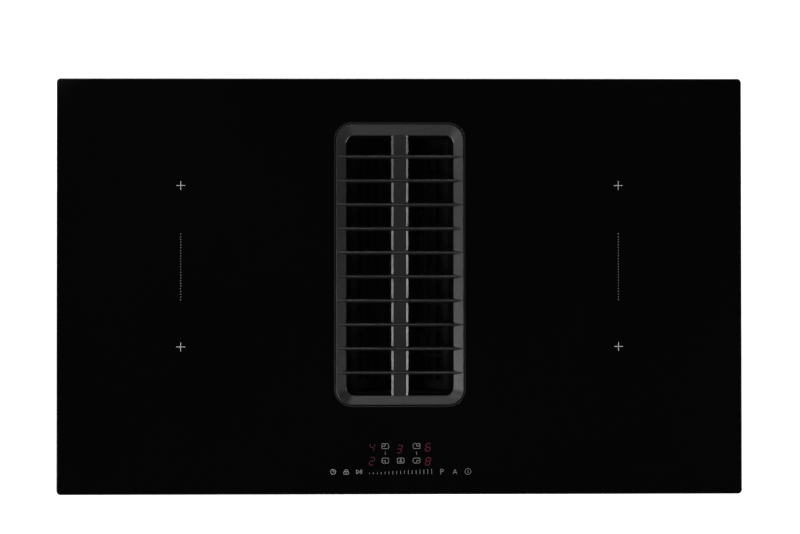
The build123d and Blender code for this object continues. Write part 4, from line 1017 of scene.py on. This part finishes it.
# The weave's coat is near black too: painted shade inside the well.
weave_painted_shade_finish = baked_coat("weave_enamel_painted_shade", value=0.0018, rough=0.5)
for half, side in (("left", -1), ("right", 1)):
    form = bmesh.new()
    bmesh.ops.create_grid(form, x_segments=round(weave_width / weave_cell),
                          y_segments=round(weave_length / weave_cell), size=0.5)
    bmesh.ops.scale(form, vec=(weave_width, weave_length, 1), verts=form.verts)
    cells = list(form.faces)
    bmesh.ops.inset_individual(form, faces=cells, thickness=weave_wire, use_even_offset=True)
    bmesh.ops.delete(form, geom=cells, context="FACES_ONLY")
    bmesh.ops.remove_doubles(form, verts=form.verts, dist=0.001)
    bmesh.ops.solidify(form, geom=list(form.faces), thickness=weave_sheet)
    bmesh.ops.recalc_face_normals(form, faces=form.faces)
    middle = Matrix.Translation((side * weave_middle_x, panel_middle_y, weave_middle_z))
    turn = Matrix.Rotation(-side * panel_lean, 4, "Y")
    bmesh.ops.transform(form, matrix=Matrix.Scale(mm, 4) @ middle @ turn, verts=form.verts)
    piece(f"filter_weave_{half}", form, weave_painted_shade_finish, "filter")

# ==== Grille
# A casting in satin black enamel that lifts out of the glass: a frame whose sides fall inwards, a
# low spine with bevelled sides, and ten crowned slats that run over both.


def cast_enamel():
    """Satin enamel over a fine casting: soft grain, clouded gloss and edges where it lies thin."""
    finish = Finish("cast_enamel", {"IOR": 1.6})
    grain = finish.noise(0.0009, detail=3.0)
    cloud = finish.noise(0.03, detail=4.0)
    thin = finish.edges(0.05)
    base = finish.mix(cloud, grey(0.004), grey(0.007))
    finish.set({"Base Color": finish.mix(thin * 0.5, base, grey(0.02)),
                "Roughness": 0.3 + cloud * 0.06 - thin * 0.04})
    return finish.relief(grain, 0.00006)


spine_half = 10.95 * mm
spine_reach = 0.45 * mm
spine_trim = 0.6 * mm
spine_side_z = 0.6 * mm
spine_side_reach = 0.05 * mm
spine_rise = 1.0 * mm
rail_brim = 66.5 * mm
rail_reach = 0.1 * mm
rail_brim_z = 3.7 * mm
rail_brim_reach = 0.12 * mm
rail_trim = 0.4 * mm
rail_slope = 0.28
front_outer_y = -133.3 * mm
front_inner_y = -121.4 * mm
front_trim = 2.0 * mm


def trim_grille(form):
    """Makes the front bar thinner, the spine's bevels narrower and flatter, and the rails a little longer."""
    for vert in form.verts:
        off_middle = abs(vert.co.x)
        if front_outer_y < vert.co.y < front_inner_y and off_middle < rail_brim + rail_trim:
            vert.co.y -= front_trim
        if abs(off_middle - spine_half) < spine_reach:
            vert.co.x -= math.copysign(spine_trim, vert.co.x)
            if abs(vert.co.z - spine_side_z) < spine_side_reach:
                vert.co.z += spine_rise
        elif abs(off_middle - rail_brim) < rail_reach and abs(vert.co.z - rail_brim_z) < rail_brim_reach:
            vert.co.x -= math.copysign(rail_trim, vert.co.x)
            vert.co.z -= rail_slope * rail_trim


def crisp_top(form, crease):
    """Keeps the edges of the faces that look up sharp where they turn by more than a crease angle."""
    for edge in form.edges:
        upward = all(face.normal.z > 0.5 for face in edge.link_faces)
        edge.smooth = not upward or edge.calc_face_angle(0) < math.radians(crease)


grille_edge = 0.35 * mm
grille_form = soft_copy("grille", grille_edge, segments=3, angle=50)
trim_grille(grille_form)
crisp_top(grille_form, crease=11)
grille = piece("grille_casting", grille_form, cast_enamel(), "grille", fine_crease)
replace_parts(grille, "grille")

# ==== Floor, light and camera
# A pale floor under the object, with a painted shadow under it and painted light round it in its glow,
# soft lights round it below a dark ceiling, and a camera almost overhead.

floor_reach = 6
floor_gap = 0.2 * mm
floor_form = bmesh.new()
bmesh.ops.create_grid(floor_form, x_segments=1, y_segments=1, size=floor_reach)
bmesh.ops.translate(floor_form, vec=(0, 0, cad_box[0][2] - floor_gap), verts=floor_form.verts)
floor_mesh = bpy.data.meshes.new("floor")
floor_form.to_mesh(floor_mesh)
floor_form.free()
floor = bpy.data.objects.new("floor", floor_mesh)
bpy.context.scene.collection.objects.link(floor)

# Glow of the floor: a painted shadow level under the object, a painted light level round it, and the reaches
# between which one turns into the other.
painted_shadow_level = 0.35
painted_light_level = 0.9
painted_shadow_reach = 0.55
painted_light_reach = 1.1
mirrored_share = 0.3


def floor_with_painted_shadow():
    """A pale floor that the camera sees lighter round the object and greyer under it: a painted shadow under
    it, and painted light round it that hides its real shadow.
    """
    finish = Finish("pale_floor_painted_shadow", {"Base Color": grey(0.75), "Roughness": 0.9, "Emission Color": grey(1.0)})
    camera_rays = finish.add("ShaderNodeLightPath", {}, {}, "Is Camera Ray")
    glossy_rays = finish.add("ShaderNodeLightPath", {}, {}, "Is Glossy Ray")
    from_middle = finish.place((1 / cad_box[1].x, 1 / cad_box[1].y, 0))
    reach = finish.add("ShaderNodeVectorMath", {"operation": "LENGTH"}, {0: from_middle}, "Value")
    painted_light_and_shade = painted_shadow_level + finish.level(reach, painted_shadow_reach, painted_light_reach) * (painted_light_level - painted_shadow_level)
    return finish.set({"Emission Strength": (camera_rays + glossy_rays * mirrored_share) * painted_light_and_shade})


floor_mesh.materials.append(floor_with_painted_shadow().material)


class Sky(Finish):
    """The world's light, whose shader is built with the same methods."""

    def __init__(self, name, sockets):
        self.world = bpy.data.worlds.new(name)
        self.world.use_nodes = True
        self.tree = self.world.node_tree
        self.shader = self.tree.nodes["Background"]
        self.set(sockets)


high_z = 0.55
low_z = 0.02
high_light = 0.02
low_light = 0.85
sky = Sky("studio", {"Color": grey(1.0)})
direction = sky.add("ShaderNodeTexCoord", {}, {}, "Generated")
height = sky.add("ShaderNodeSeparateXYZ", {}, {0: direction}, "Z")
ramp = sky.add("ShaderNodeMapRange", {}, {"Value": height, "From Min": high_z, "From Max": low_z,
                                          "To Min": high_light, "To Max": low_light})
seen = sky.add("ShaderNodeLightPath", {}, {}, "Is Camera Ray")
sky.set({"Strength": sky.add("ShaderNodeMath", {"operation": "MAXIMUM"}, {0: ramp, 1: seen})})
bpy.context.scene.world = sky.world


def soft_light(name, place, width, height, power, target=(0, 0, 0)):
    """A rectangular soft light aimed at a point."""
    lamp = bpy.data.lights.new(name, "AREA")
    lamp.shape = "RECTANGLE"
    lamp.size = width
    lamp.size_y = height
    lamp.energy = power
    holder = bpy.data.objects.new(name, lamp)
    holder.location = place
    aim = Vector(target) - Vector(place)
    holder.rotation_euler = aim.to_track_quat("-Z", "Y").to_euler()
    holder.visible_camera = False
    bpy.context.scene.collection.objects.link(holder)


soft_light("left_box", (-1.0, -0.5, 1.65), 0.6, 0.6, 10.5)
soft_light("left_rear_box", (-1.35, 1.1, 1.15), 0.5, 0.5, 2)
soft_light("right_box", (1.24, -0.55, 1.3), 0.9, 0.8, 5)
soft_light("corner_box", (-0.64, 0.57, 1.62), 0.25, 0.25, 2.2)
soft_light("left_strip", (-2.1, -0.65, 0.22), 1.9, 0.18, 28)
soft_light("right_strip", (2.1, -0.65, 0.22), 1.9, 0.18, 30)
soft_light("rear_strip", (0.0, 1.9, -0.02), 1.8, 0.34, 15, (0, 0, -0.02))
soft_light("front_box", (0.0, -1.05, 1.45), 1.3, 0.5, 4.7)
soft_light("rear_box", (0.0, 1.15, 1.45), 1.3, 0.5, 5.2)

lens_length = 109.96
camera_place = (-0.0552, -0.0198, 3.0)
camera_turn = (0.8297, -1.0585, -0.0402)
lens = bpy.data.cameras.new("camera")
lens.sensor_width = 36.0
lens.lens = lens_length
camera = bpy.data.objects.new("camera", lens)
camera.location = camera_place
camera.rotation_euler = [math.radians(angle) for angle in camera_turn]
bpy.context.scene.collection.objects.link(camera)
bpy.context.scene.camera = camera
bpy.context.scene.view_settings.view_transform = "Standard"
